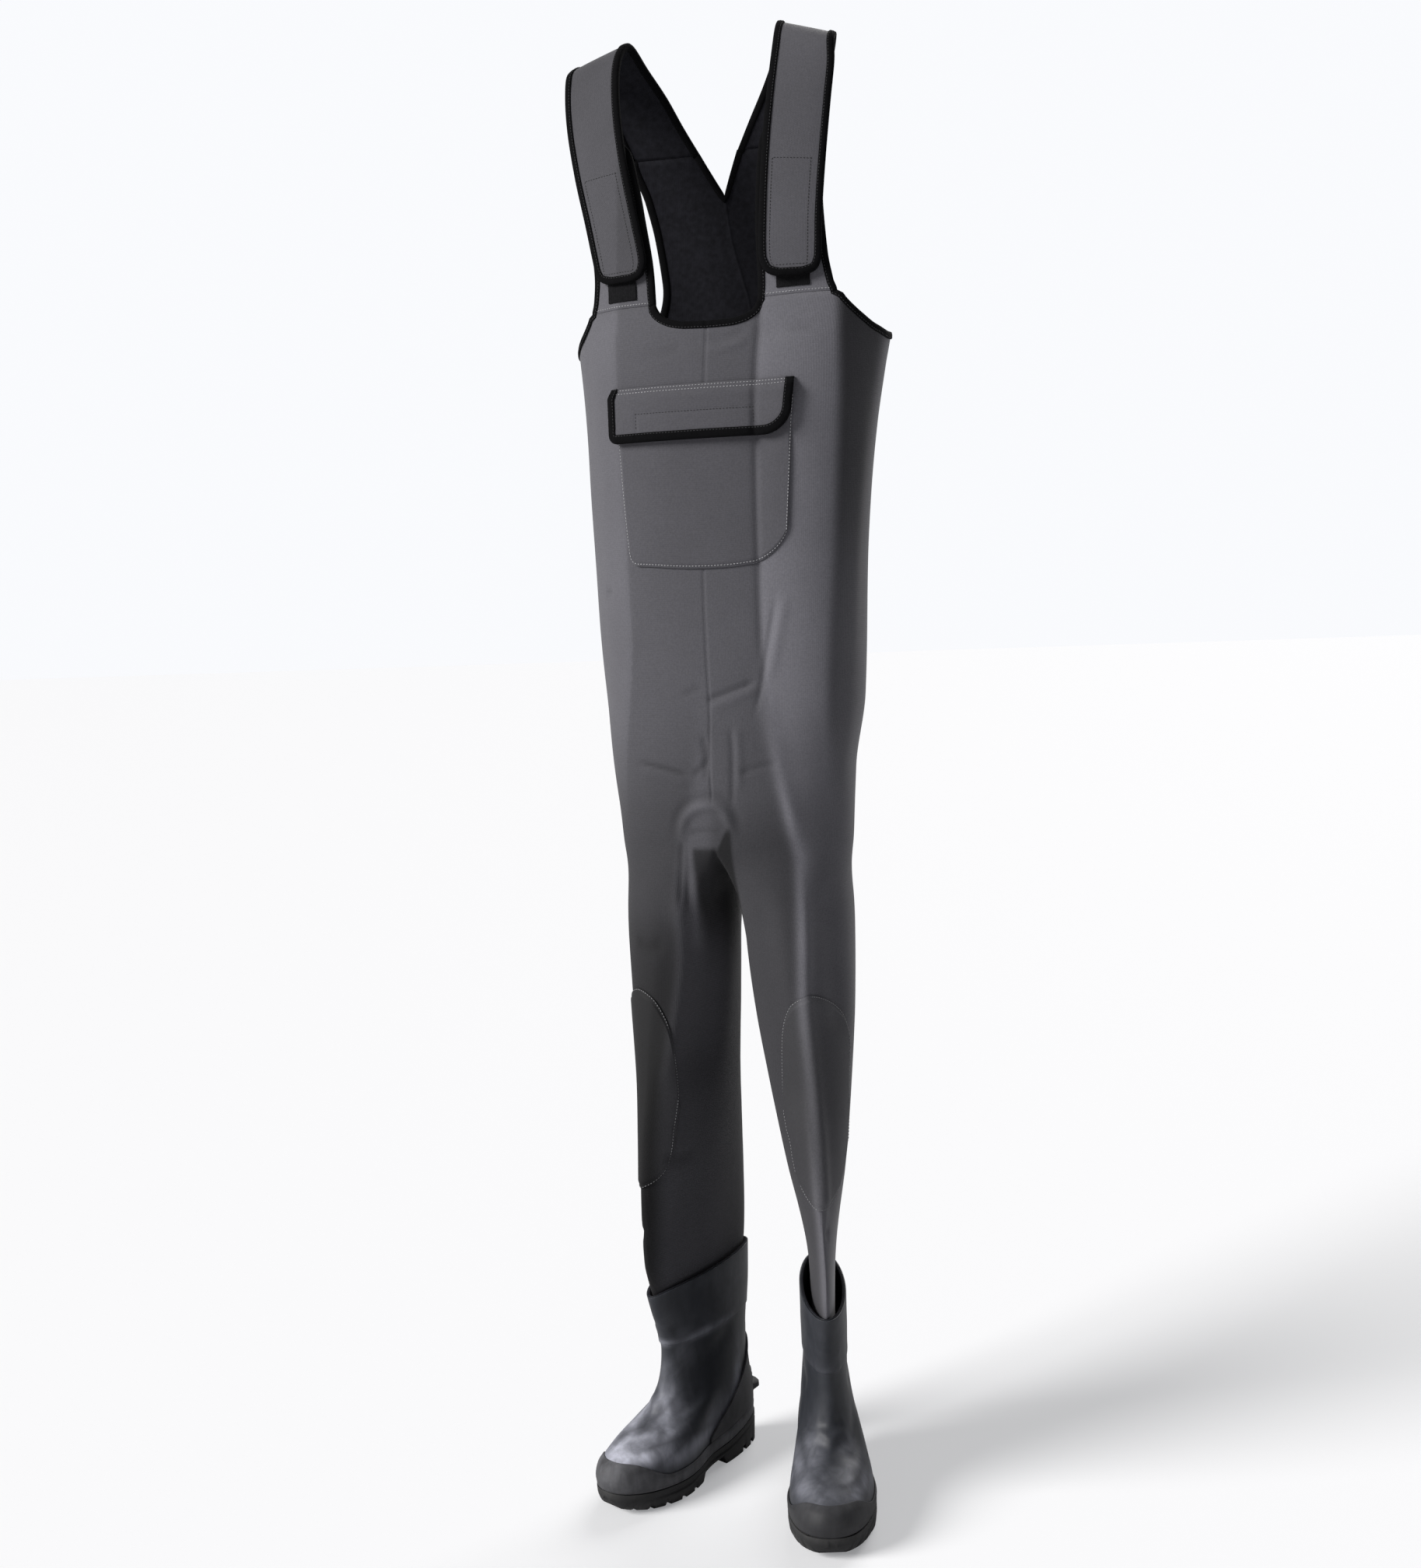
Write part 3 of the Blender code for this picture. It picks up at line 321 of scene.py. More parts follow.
def rubberFinish(name):   # dark rubber with a dusty bloom where the "bloom" mark is high
    look = finishes[name]
    made, tree, shader = newFinish(name)
    coords = objectCoords(tree)
    cloud = spread(tree, noise(tree, coords, look["patch"], 6.0, 0.9), 0.34, 0.64, 0.50, 1.0)
    flat = (1.0, 1.0, rubberSkin["streakFlat"])
    drawn = addNode(tree, "ShaderNodeMapping", {"Vector": coords, "Scale": flat})
    streak = noise(tree, drawn.outputs[0], look["patch"] * rubberSkin["streak"], 4.0, 0.4)
    rubbed = spread(tree, streak, 0.36, 0.66, 0.62, 1.0)
    dusty = times(tree, times(tree, cloud, rubbed), markOf(tree, "bloom"))
    base = addNode(tree, "ShaderNodeMix", {"Factor": dusty, 6: look["colour"] + (1.0,),
                                           7: look["bloom"] + (1.0,)}, data_type="RGBA")
    tree.links.new(base.outputs[2], shader.inputs["Base Color"])
    tree.links.new(spread(tree, dusty, 0.0, 0.8, *look["roughness"]), shader.inputs["Roughness"])
    shader.inputs["Specular IOR Level"].default_value = 0.30
    dents = bump(tree, noise(tree, coords, rubberSkin["dentScale"], 3.0), 0.20, rubberSkin["dentDepth"])
    skin = bump(tree, noise(tree, coords, look["grain"]), 0.16, rubberSkin["grainDepth"], dents)
    tree.links.new(skin, shader.inputs["Normal"])
    return made


def threadFinish(name):
    made, tree, shader = newFinish(name)
    twist = noise(tree, objectCoords(tree), 300.0)
    dye(tree, shader, finishes[name], spread(tree, twist, 0.3, 0.7, 0.85, 1.15))
    return made


neoprene = clothFinish("neoprene")
strapCloth = clothFinish("strapCloth")
pocketCloth = clothFinish("pocketCloth")
kneeCloth = clothFinish("kneeCloth")
tapeCloth = plainCloth("tape")
lining = plainCloth("lining")
loopPile = plainCloth("loopPile")
rubber = rubberFinish("rubber")
matteRubber = rubberFinish("matteRubber")
soleRubber = rubberFinish("soleRubber")
greyThread = threadFinish("greyThread")
dullThread = threadFinish("dullThread")
blackThread = threadFinish("blackThread")
print("finishes made")

# torso and legs: the suit's section at each height
torso = tableOf(
    "z width front back square shift backShift",
    (0.600, 0.130, 0.080, 0.082, 2.20, -0.004, -0.004),
    (0.700, 0.131, 0.083, 0.085, 2.20, -0.004, -0.004),
    (0.800, 0.136, 0.088, 0.090, 2.30, -0.004, -0.004),
    (0.880, 0.145, 0.094, 0.094, 2.35, 0.000, 0.000),
    (0.950, 0.149, 0.097, 0.094, 2.40, 0.000, 0.000),
    (1.030, 0.152, 0.098, 0.093, 2.40, 0.001, 0.001),
    (1.100, 0.156, 0.098, 0.093, 2.40, 0.003, 0.003),
    (1.170, 0.161, 0.098, 0.093, 2.40, 0.007, 0.007),
    (1.230, 0.168, 0.097, 0.093, 2.40, 0.011, 0.011),
    (1.270, 0.174, 0.093, 0.093, 2.40, 0.013, 0.013),
    (1.310, 0.178, 0.086, 0.091, 2.40, 0.012, 0.009),
    (1.400, 0.178, 0.071, 0.083, 2.40, 0.003, -0.010),
    (1.490, 0.178, 0.054, 0.068, 2.40, -0.004, -0.016),
    (1.550, 0.178, 0.036, 0.046, 2.40, -0.005, -0.010),
    (1.600, 0.178, 0.008, 0.010, 2.40, -0.005, -0.006),
)
leg = tableOf(
    "z width front back crease drift",
    (0.175, 0.0155, 0.0640, 0.0640, 0.05, 1.00),
    (0.200, 0.0162, 0.0712, 0.0705, 0.05, 1.00),
    (0.215, 0.0166, 0.0748, 0.0735, 0.05, 1.00),
    (0.235, 0.0172, 0.0810, 0.0770, 0.06, 1.00),
    (0.255, 0.0182, 0.0855, 0.0800, 0.10, 1.00),
    (0.325, 0.0255, 0.0885, 0.0850, 0.34, 0.95),
    (0.400, 0.0370, 0.0870, 0.0865, 0.32, 0.80),
    (0.470, 0.0465, 0.0835, 0.0850, 0.22, 0.60),
    (0.540, 0.0545, 0.0830, 0.0850, 0.12, 0.38),
    (0.605, 0.0590, 0.0840, 0.0860, 0.05, 0.18),
    (0.670, 0.0615, 0.0850, 0.0870, 0.00, 0.05),
    (0.745, 0.0620, 0.0850, 0.0870, 0.00, 0.00),
)
bibTop = tableOf(
    "degrees z", (0, 1.2770), (5, 1.2775), (9, 1.2800), (12, 1.2845), (14.2, 1.2910), (15.5, 1.2983),
    (25, 1.2983), (35, 1.2983), (47, 1.2983), (49.5, 1.2925), (53, 1.2860), (60, 1.2770), (74, 1.2660),
    (90, 1.2620),
)
backPanel = tableOf(
    "z half", (1.262, 0.1735), (1.270, 0.158), (1.288, 0.129), (1.315, 0.106), (1.350, 0.093), (1.395, 0.088),
    (1.440, 0.092), (1.485, 0.103),
)
suit = {
    "wall": 0.004,
    "hoop": (0, 8, 15.5, 25, 35, 47, 60, 74, 90, 106, 121, 137, 153, 170, 180),   # column angles, half round
    "legHoop": (-60, -40, -20, 0, 22.5, 45, 67.5, 90, 112.5, 135, 157.5, 180, 200, 220, 240),
    "frontSplit": 9, "sideSplit": 5, "backSplit": 3,   # fine columns to each of those
    "frontEnd": 6, "sideEnd": 9,   # columns from the front where the split changes
    "seamColumns": (0.035, 0.075),   # extra columns beside the middle seams
    "forkZ": 0.716, "bellyZ": 0.930, "topStartZ": 1.235, "legTopZ": 0.670, "legEndZ": 0.175,
    "bellyRows": 68, "torsoRows": 60, "topRows": 9, "backRows": 44, "forkRows": 12, "legRows": 80,
    "crotchColumns": 15, "sideColumn": 8, "tabColumn": 5, "neckColumn": 2,
    "hipX": 0.067, "ankleFrom": (0.370, 0.260), "ankleAhead": 0.07675,   # from the heel to the cuff's middle
    "blendTop": 0.790, "blendEnd": 0.605, "crotchDip": 0.030, "thighGap": 0.004, "innerTurn": 60.0,
    "veeDrop": 0.048, "veeHalf": 0.233, "weaveRadius": 0.13,
    "seamDepth": 0.0010, "seamWidth": 0.0013, "seamFrom": (0.768, 0.780), "seamFace": 0.03,
    "relaxZ": 0.688, "relaxSpread": 0.028, "relaxRounds": 40,   # how the fork is evened out
}


def torsoPoint(degrees, z, out=0.0):
    degrees, z = np.broadcast_arrays(np.asarray(degrees, float), np.asarray(z, float))
    angle = np.radians(degrees)
    power = 2.0 / along(torso, "square", z)
    ahead = np.cos(angle)
    front = ahead > 0
    depth = np.where(front, along(torso, "front", z), along(torso, "back", z)) + out
    middle = np.where(front, along(torso, "shift", z), along(torso, "backShift", z))
    x = middle + (along(torso, "width", z) + out) * signedPower(np.sin(angle), power)
    return np.stack([x, -depth * signedPower(ahead, power), z], -1)


def degreesAt(x, z, face):
    share = np.minimum(np.abs(x) / along(torso, "width", z), 1.0)
    angle = np.degrees(np.arcsin(share ** (along(torso, "square", z) / 2.0)))
    return np.where(x < 0, -1, 1) * (180.0 - angle if face == "back" else angle)


def torsoNormal(degrees, z):
    around = torsoPoint(degrees + 1.0, z) - torsoPoint(degrees - 1.0, z)
    return unit(np.cross(around, torsoPoint(degrees, z + 0.004) - torsoPoint(degrees, z - 0.004)))


def overTorso(degrees, z, out):
    out = np.asarray(out, float)
    return torsoPoint(degrees, z) + torsoNormal(degrees, z) * out[..., None]


def bootAxes(boot):
    turn = math.radians(boot["toeOut"])
    across = np.array((math.cos(turn), math.sin(turn), 0.0))
    ahead = np.array((math.sin(turn), -math.cos(turn), 0.0))
    return np.array(boot["heel"] + (0.0,)), across, ahead


def legPoint(boot, degrees, z, inset=0.0):
    degrees, z = np.broadcast_arrays(np.asarray(degrees, float), np.asarray(z, float))
    heel, _, ahead = bootAxes(boot)
    drift = along(leg, "drift", z)
    ankle = heel + ahead * suit["ankleAhead"]
    middleX = mix(boot["side"] * suit["hipX"] + along(torso, "shift", z), ankle[0], drift)
    middleY = ankle[1] * drift
    turn = np.radians(boot["toeOut"] * drift)
    angle = np.radians(degrees)
    depth = np.where(np.cos(angle) > 0, along(leg, "front", z), along(leg, "back", z)) - inset
    side = np.sin(angle)
    slim = mix(1.0, boot["slim"], smoothStep(*suit["ankleFrom"], z))
    aside = (along(leg, "width", z) * slim - inset) * side * np.abs(side) ** along(leg, "crease", z)
    forth = depth * np.cos(angle)
    return np.stack([middleX + aside * np.cos(turn) + forth * np.sin(turn),
                     middleY + aside * np.sin(turn) - forth * np.cos(turn), z], -1)


# creases, given as points, depth and width: x and height on the torso, angle and height on a leg
creases = {
    "front": (
        (((0.067, 1.300), (0.069, 1.272), (0.065, 1.222), (0.062, 1.130), (0.060, 1.019), (0.059, 0.945),
          (0.059, 0.907)), -0.0016, 0.0034),
        (((-0.005, 0.881), (0.013, 0.887), (0.034, 0.894), (0.054, 0.901)), -0.0026, 0.0029),
        (((-0.003, 0.873), (0.016, 0.879), (0.036, 0.886), (0.056, 0.893)), 0.0011, 0.0055),
        (((-0.030, 0.889), (-0.017, 0.893), (-0.006, 0.897)), -0.0009, 0.0034),
        (((-0.091, 0.817), (-0.059, 0.810), (-0.023, 0.801)), -0.0024, 0.0028),
        (((-0.088, 0.809), (-0.058, 0.802), (-0.024, 0.793)), 0.0010, 0.0056),
        (((-0.026, 0.800), (-0.012, 0.810), (-0.006, 0.820)), -0.0014, 0.0032),
        (((0.026, 0.803), (0.048, 0.808), (0.072, 0.813)), -0.0016, 0.0028),
        (((0.080, 0.998), (0.073, 0.965), (0.066, 0.933), (0.060, 0.907), (0.055, 0.886), (0.046, 0.858)),
         -0.0018, 0.0029),
        (((0.087, 0.996), (0.080, 0.962), (0.073, 0.930), (0.066, 0.900)), 0.0016, 0.0062),
        (((0.058, 0.925), (0.064, 0.869), (0.069, 0.828), (0.073, 0.795), (0.080, 0.754), (0.086, 0.706)),
         0.0028, 0.0085),
        (((0.022, 0.860), (0.022, 0.822), (0.020, 0.789), (0.018, 0.764)), -0.0015, 0.0027),
        (((0.029, 0.858), (0.029, 0.820), (0.027, 0.780)), 0.0010, 0.0046),
        (((-0.011, 0.850), (-0.007, 0.830), (-0.007, 0.814), (-0.011, 0.794)), -0.0018, 0.0036),
        (((0.008, 1.253), (0.029, 1.250), (0.045, 1.254), (0.060, 1.259)), 0.0018, 0.0038),
        (((0.008, 1.259), (0.029, 1.256), (0.045, 1.260), (0.060, 1.265)), -0.0016, 0.0034),
        (((-0.060, 1.252), (-0.036, 1.250), (-0.010, 1.254)), -0.0008, 0.0040),
        (((0.058, 1.260), (0.097, 1.264), (0.127, 1.266), (0.155, 1.270)), -0.0014, 0.0029),
        (((-0.120, 1.000), (-0.106, 1.004)), -0.0012, 0.0036),
        (((-0.044, 0.716), (-0.039, 0.747), (-0.028, 0.762), (-0.012, 0.768), (0.005, 0.766), (0.014, 0.752),
          (0.018, 0.730)), 0.0034, 0.0055),
        (((-0.054, 0.716), (-0.048, 0.752), (-0.034, 0.771), (-0.012, 0.778), (0.010, 0.775), (0.023, 0.757),
          (0.028, 0.730)), -0.0011, 0.0048),
        (((-0.034, 0.738), (-0.014, 0.741), (0.008, 0.739)), -0.0014, 0.0027),
    ),
    "left": (
        (((32, 0.730), (28, 0.661), (22, 0.601), (17, 0.550), (16.5, 0.466), (15, 0.413), (11, 0.371),
          (5, 0.340), (1, 0.305)), 0.0046, 0.0085),
        (((-26, 0.690), (-22, 0.600), (-22, 0.500), (-20, 0.420)), -0.0050, 0.0200),
        (((56, 0.690), (52, 0.600), (52, 0.500)), -0.0040, 0.0200),
        (((10, 0.318), (26, 0.316)), -0.0020, 0.0036),
        (((150, 0.470), (180, 0.462), (212, 0.470)), -0.0038, 0.0080),
        (((150, 0.452), (180, 0.444), (212, 0.452)), 0.0028, 0.0090),
        (((156, 0.420), (180, 0.412), (206, 0.420)), -0.0030, 0.0070),
    ),
    "right": (
        (((19, 0.700), (21, 0.655), (27, 0.621), (30, 0.579), (28, 0.500), (26, 0.440)), 0.0050, 0.0110),
        (((66, 0.690), (64, 0.560), (60, 0.440)), -0.0060, 0.0240),
        (((25, 0.735), (23, 0.697), (23, 0.650)), -0.0018, 0.0032),
        (((32, 0.731), (30, 0.693), (31, 0.645)), -0.0018, 0.0032),
        (((42, 0.705), (42, 0.658), (47, 0.600)), 0.0030, 0.0070),
        (((-30, 0.620), (-10, 0.612), (12, 0.618)), -0.0022, 0.0070),
        (((-44, 0.300), (-20, 0.292), (10, 0.298)), -0.0020, 0.0080),
        (((34, 0.380), (52, 0.372), (70, 0.376)), -0.0018, 0.0070),
        (((-150, 0.476), (-180, 0.468), (-212, 0.476)), -0.0038, 0.0080),
        (((-150, 0.458), (-180, 0.450), (-212, 0.458)), 0.0028, 0.0090),
        (((-156, 0.428), (-180, 0.420), (-206, 0.428)), -0.0030, 0.0070),
    ),
    "back": (
        (((0.030, 0.980), (0.060, 0.955), (0.098, 0.948)), -0.0034, 0.0080),
        (((0.028, 0.965), (0.060, 0.940), (0.098, 0.932)), 0.0030, 0.0100),
        (((-0.030, 0.930), (-0.064, 0.900), (-0.102, 0.896)), -0.0034, 0.0080),
        (((-0.028, 0.915), (-0.062, 0.884), (-0.100, 0.880)), 0.0030, 0.0100),
        (((-0.020, 0.850), (-0.050, 0.826), (-0.090, 0.830)), -0.0032, 0.0080),
        (((0.022, 0.860), (0.052, 0.838), (0.092, 0.836)), -0.0032, 0.0080),
        (((-0.086, 1.240), (-0.090, 1.140), (-0.092, 1.040), (-0.096, 0.950)), 0.0046, 0.0160),
        (((0.096, 1.240), (0.094, 1.140), (0.092, 1.040), (0.094, 0.950)), 0.0046, 0.0160),
    ),
}
# the front hangs in flat planes: a rounded ridge on each side and a valley fold beside the pocket's middle
frontPlanes = {
    "folds": tableOf(
        "z left valley right share",
        (0.745, -0.113, 0.082, 0.118, 0), (0.804, -0.107, 0.073, 0.119, 0.40),
        (0.855, -0.098, 0.066, 0.121, 0.75),
        (0.907, -0.088, 0.059, 0.124, 1), (0.970, -0.083, 0.059, 0.129, 1), (1.030, -0.084, 0.060, 0.134, 1),
        (1.100, -0.085, 0.061, 0.139, 1), (1.150, -0.086, 0.063, 0.143, 1), (1.220, -0.088, 0.065, 0.148, 1),
        (1.270, -0.088, 0.069, 0.149, 0.90), (1.300, -0.087, 0.067, 0.149, 0.55),
    ),
    "leftOut": 0.0080, "valleyIn": 0.0090, "rightOut": 0.0095, "leftRun": 0.045, "rightRun": 0.026,
    "round": 0.0045, "rounds": 7, "faceY": (-0.005, -0.035),
}


def planeMove(points):
    x, y, z = points.T
    folds = frontPlanes["folds"]
    left, valley, right = (along(folds, name, z) for name in ("left", "valley", "right"))
    stops = (left - frontPlanes["leftRun"], left, valley, right, right + frontPlanes["rightRun"])
    outs = (0.0, frontPlanes["leftOut"], -frontPlanes["valleyIn"], frontPlanes["rightOut"], 0.0)
    total = np.zeros(len(points))
    offsets = np.linspace(-frontPlanes["round"], frontPlanes["round"], frontPlanes["rounds"])
    for offset in offsets:
        for i in range(4):
            t = (x + offset - stops[i]) / (stops[i + 1] - stops[i])
            total += np.where((t >= 0) & (t < 1), mix(outs[i], outs[i + 1], t), 0.0)
    share = along(folds, "share", z) * (z > folds["z"][0]) * smoothStep(*frontPlanes["faceY"], y)
    return total / len(offsets) * share


# painted light and shade on the cloth: the planes of the front, down each leg on both sides of its front
# fold, and a painted shadow in the fork
# painted shade: the front plane darker, the right plane lighter, past the right ridge darker towards the top;
# a painted highlight just left of the left ridge and painted shade just right of it
planeShading = {
    "front": 0.90, "rightPlane": 1.30, "sideLow": 0.78, "sideHigh": 0.36, "sideZ": (0.95, 1.14),
    "leftRidgeLight": 0.10, "ridgeFade": 0.030, "fromY": (0.010, -0.030), "fromZ": (0.72, 0.86),
    "leftEdge": (0.005, 0.006), "valleyEdge": (0.003, 0.006), "rightEdge": (0.005, 0.009),   # before and past
    "troughShade": 130.0, "crestLight": 55.0, "legDeepest": 0.0033,   # painted shade along a trough, a painted highlight along a crest
}
# painted shade down each leg, on either side of its front fold (rightOut, rightIn, leftIn, leftOut), and a
# painted highlight along the left leg's fold (ridge)
legShading = tableOf(
    "z rightOut rightIn leftIn leftOut ridge",
    (0.300, 0.085, 0.60, 0.38, 0.72, 1.05),
    (0.450, 0.075, 0.50, 0.33, 0.60, 0.95),
    (0.560, 0.130, 0.70, 0.34, 0.76, 1.20),
    (0.620, 0.205, 0.80, 0.36, 0.85, 1.35),
    (0.660, 0.310, 0.78, 0.38, 0.90, 1.45),
    (0.720, 0.370, 0.74, 0.44, 0.95, 1.60),
    (0.800, 0.640, 0.95, 0.80, 1.00, 1.40),
    (0.880, 0.92, 1.00, 0.96, 1.00, 1.15),
    (0.940, 1.00, 1.00, 1.00, 1.00, 1.00),
)
legShadeEdges = {"fold": 0.010, "ridge": 0.0075, "behindY": (-0.020, 0.035), "middleX": (-0.016, 0.004)}
legFolds = {
    "right": (("right", ((26, 0.240), (26, 0.440), (28, 0.500), (30, 0.579), (27, 0.621), (21, 0.655),
                         (19, 0.700))),
              ("front", ((-0.022, 0.800), (-0.012, 0.900)))),
    "left": (("left", ((-3, 0.270), (2, 0.328), (11, 0.371), (15, 0.413), (16.5, 0.466), (17, 0.550),
                       (22, 0.601), (28, 0.661), (31, 0.708))),
             ("front", ((0.080, 0.754), (0.073, 0.795), (0.069, 0.828), (0.060, 0.907)))),
}
# painted shadow in the recess under the gusset
forkShadow = {
    "dark": 0.74, "topRight": 0.7215, "topLeft": 0.7420, "topX": (-0.002, 0.012), "soft": 0.004,
    "rightX": (-0.033, -0.026), "leftX": (0.018, 0.013), "lowZ": (0.56, 0.66), "depthY": (0.045, 0.0),
}


def foldLine(side, z):
    path = np.concatenate([creasePath(where, marks) for where, marks in legFolds[side]])
    return np.interp(z, path[:, 2], path[:, 0])


def edgeStep(edge, soft, x):
    return smoothStep(edge - soft[0], edge + soft[1], x)


# painted light and shade across the front's planes
def planeShade(x, z):
    left, valley, right = (along(frontPlanes["folds"], name, z) for name in ("left", "valley", "right"))
    shade = mix(1.0, planeShading["front"], edgeStep(left, planeShading["leftEdge"], x))
    beside = np.exp(-np.abs(x - left) / planeShading["ridgeFade"])
    shade += np.where(x < left, planeShading["leftRidgeLight"], -0.5 * planeShading["leftRidgeLight"]) * beside
    shade = mix(shade, planeShading["rightPlane"], edgeStep(valley, planeShading["valleyEdge"], x))
    aside = mix(planeShading["sideLow"], planeShading["sideHigh"], smoothStep(*planeShading["sideZ"], z))
    return mix(shade, aside, edgeStep(right, planeShading["rightEdge"], x))


# painted shade down each leg, with a painted highlight along the left leg's front fold, evened out towards
# the back
def legShade(x, y, z):
    shades = {name: along(legShading, name, z) for name in legShading}
    behind = smoothStep(*legShadeEdges["behindY"], y)
    half = {}
    for side, first, second in (("right", "rightOut", "rightIn"), ("left", "leftIn", "leftOut")):
        past = x - foldLine(side, z)
        tone = mix(shades[first], shades[second], smoothStep(-legShadeEdges["fold"], legShadeEdges["fold"], past))
        if side == "left":
            tone = mix(tone, shades["ridge"], np.exp(-(past / legShadeEdges["ridge"]) ** 2))
        half[side] = mix(tone, (shades[first] + shades[second]) / 2, behind)
    return mix(half["right"], half["left"], smoothStep(*legShadeEdges["middleX"], x))


def forkShade(x, y, z):   # painted shadow in the recess under the gusset, reaching higher on its left
    top = mix(forkShadow["topRight"], forkShadow["topLeft"], smoothStep(*forkShadow["topX"], x))
    dark = smoothStep(*forkShadow["rightX"], x) * smoothStep(*forkShadow["leftX"], x)
    dark *= smoothStep(*forkShadow["lowZ"], z) * smoothStep(*forkShadow["depthY"], y)
    dark *= smoothStep(top + forkShadow["soft"], top - forkShadow["soft"], z)
    return 1.0 - forkShadow["dark"] * dark


# the painted light and shade that the cloth's colour is multiplied by: the front's planes, the legs, the
# fork's recess and the creases
def clothShade(points):
    x, y, z = points.T
    onFront = smoothStep(*planeShading["fromY"], y) * smoothStep(*planeShading["fromZ"], z)
    shade = mix(1.0, planeShade(x, z), onFront) * legShade(x, y, z) * forkShade(x, y, z)
    return shade * np.clip(1.0 + creaseMove(points, shadeLines), 0.3, 1.4)


def legSkin(boot, degrees, z):   # the leg's surface, also where it still blends into the torso
    own = smoothStep(suit["blendTop"], suit["blendEnd"], z)[..., None]
    above = boot["side"] * np.interp(boot["side"] * degrees, suit["legHoop"], suit["hoop"])
    return mix(torsoPoint(above, z), legPoint(boot, degrees, z), own)


def creasePath(where, marks):
    first, z = np.array(marks, float).T
    if where in boots:
        path = legSkin(boots[where], first, z)
    else:
        middle = along(torso, "shift" if where == "front" else "backShift", z)
        path = torsoPoint(degreesAt(first - middle, z, where), z)
    return refine(path, 6, 0)


# the front's creases and the shallower leg creases also go into the painted shade: painted shade along
# troughs, painted highlights along crests
creaseLines, shadeLines = [], []
for where, rows in creases.items():
    for marks, depth, width in rows:
        path = creasePath(where, marks)
        creaseLines.append((path, depth, width))
        if where == "front" or where in boots and abs(depth) < planeShading["legDeepest"]:
            shadeLines.append((path, depth * planeShading["troughShade" if depth < 0 else "crestLight"], width))
creaseSpread = {"reach": 2.6, "ends": 0.22}   # in widths to each side, and the share that fades at each end


def clothMove(points):
    return creaseMove(points, creaseLines) + planeMove(points)


def creaseMove(points, lines):   # how far each point goes out or in, fading at the ends of a crease
    move = np.zeros(len(points))
    for path, depth, width in lines:
        reach = creaseSpread["reach"] * width
        near = np.all((points > path.min(0) - reach) & (points < path.max(0) + reach), axis=1)
        spot = points[near]
        if not len(spot):
            continue
        best = np.full(len(spot), np.inf)
        where = np.zeros(len(spot))
        for i in range(len(path) - 1):
            step = path[i + 1] - path[i]
            t = np.clip((spot - path[i]) @ step / (step @ step), 0.0, 1.0)
            far = np.linalg.norm(spot - path[i] - t[:, None] * step, axis=1)
            closer = far < best
            best[closer] = far[closer]
            where[closer] = (i + t[closer]) / (len(path) - 1)
        ends = creaseSpread["ends"]
        fade = smoothStep(0.0, ends, where) * smoothStep(1.0, 1.0 - ends, where)
        move[near] += depth * fade * np.exp(-(best / width) ** 2)
    return move


# the suit
hoopHalf = np.array(suit["hoop"], float)
hoopAll = np.concatenate([hoopHalf, 360.0 - hoopHalf[-2::-1]])
halfTurn = len(hoopHalf) - 1
fullTurn = 2 * halfTurn
columnsU = set()
for j in range(fullTurn):
    fromFront = min(j, fullTurn - 1 - j)
    split = suit["backSplit"]
    if fromFront < suit["sideEnd"]:
        split = suit["frontSplit"] if fromFront < suit["frontEnd"] else suit["sideSplit"]
    columnsU |= {round(j + i / split, 4) for i in range(split)}
for offset in suit["seamColumns"]:
    columnsU |= {offset} | {round(u, 4) for u in (halfTurn - offset, halfTurn + offset, fullTurn - offset)}
columnsU = np.array(sorted(columnsU))
columnCount = len(columnsU)
columnDegrees = np.interp(columnsU, np.arange(fullTurn + 1), hoopAll)


def columnAt(u):
    return int(np.argmin(np.abs(columnsU - u % fullTurn)))


def bibTopAt(degrees):
    aside = np.minimum(degrees % 360, 360 - degrees % 360)
    return np.where(aside <= 90, along(bibTop, "z", aside), bibTop["z"][-1])


def legRing(boot, z, inset):
    half = columnAt(halfTurn)
    if boot["side"] > 0:
        u = columnsU[:half + 1]
        angle = np.interp(u, np.arange(halfTurn + 1), suit["legHoop"])
        innerStart = suit["legHoop"][-1]
    else:
        u = np.append(columnsU[half:], fullTurn)
        angle = -np.interp(fullTurn - u, np.arange(halfTurn + 1), suit["legHoop"])
        innerStart = -suit["legHoop"][0]
    own = smoothStep(suit["blendTop"], suit["blendEnd"], z)
    top = torsoPoint(np.interp(u, np.arange(fullTurn + 1), hoopAll), z, -inset)
    beside = np.minimum(np.abs(u - np.round(u / halfTurn) * halfTurn), 1.0)
    top[:, 0] += boot["side"] * (suit["thighGap"] + inset) * (1 - beside)
    ring = mix(top, legPoint(boot, angle, z, inset), own)
    share = np.arange(1, suit["crotchColumns"] + 1)[:, None] / (suit["crotchColumns"] + 1)
    inside = legPoint(boot, innerStart + suit["innerTurn"] * share[:, 0], z, inset)
    return np.concatenate([ring, mix(mix(ring[-1], ring[0], share), inside, own)])


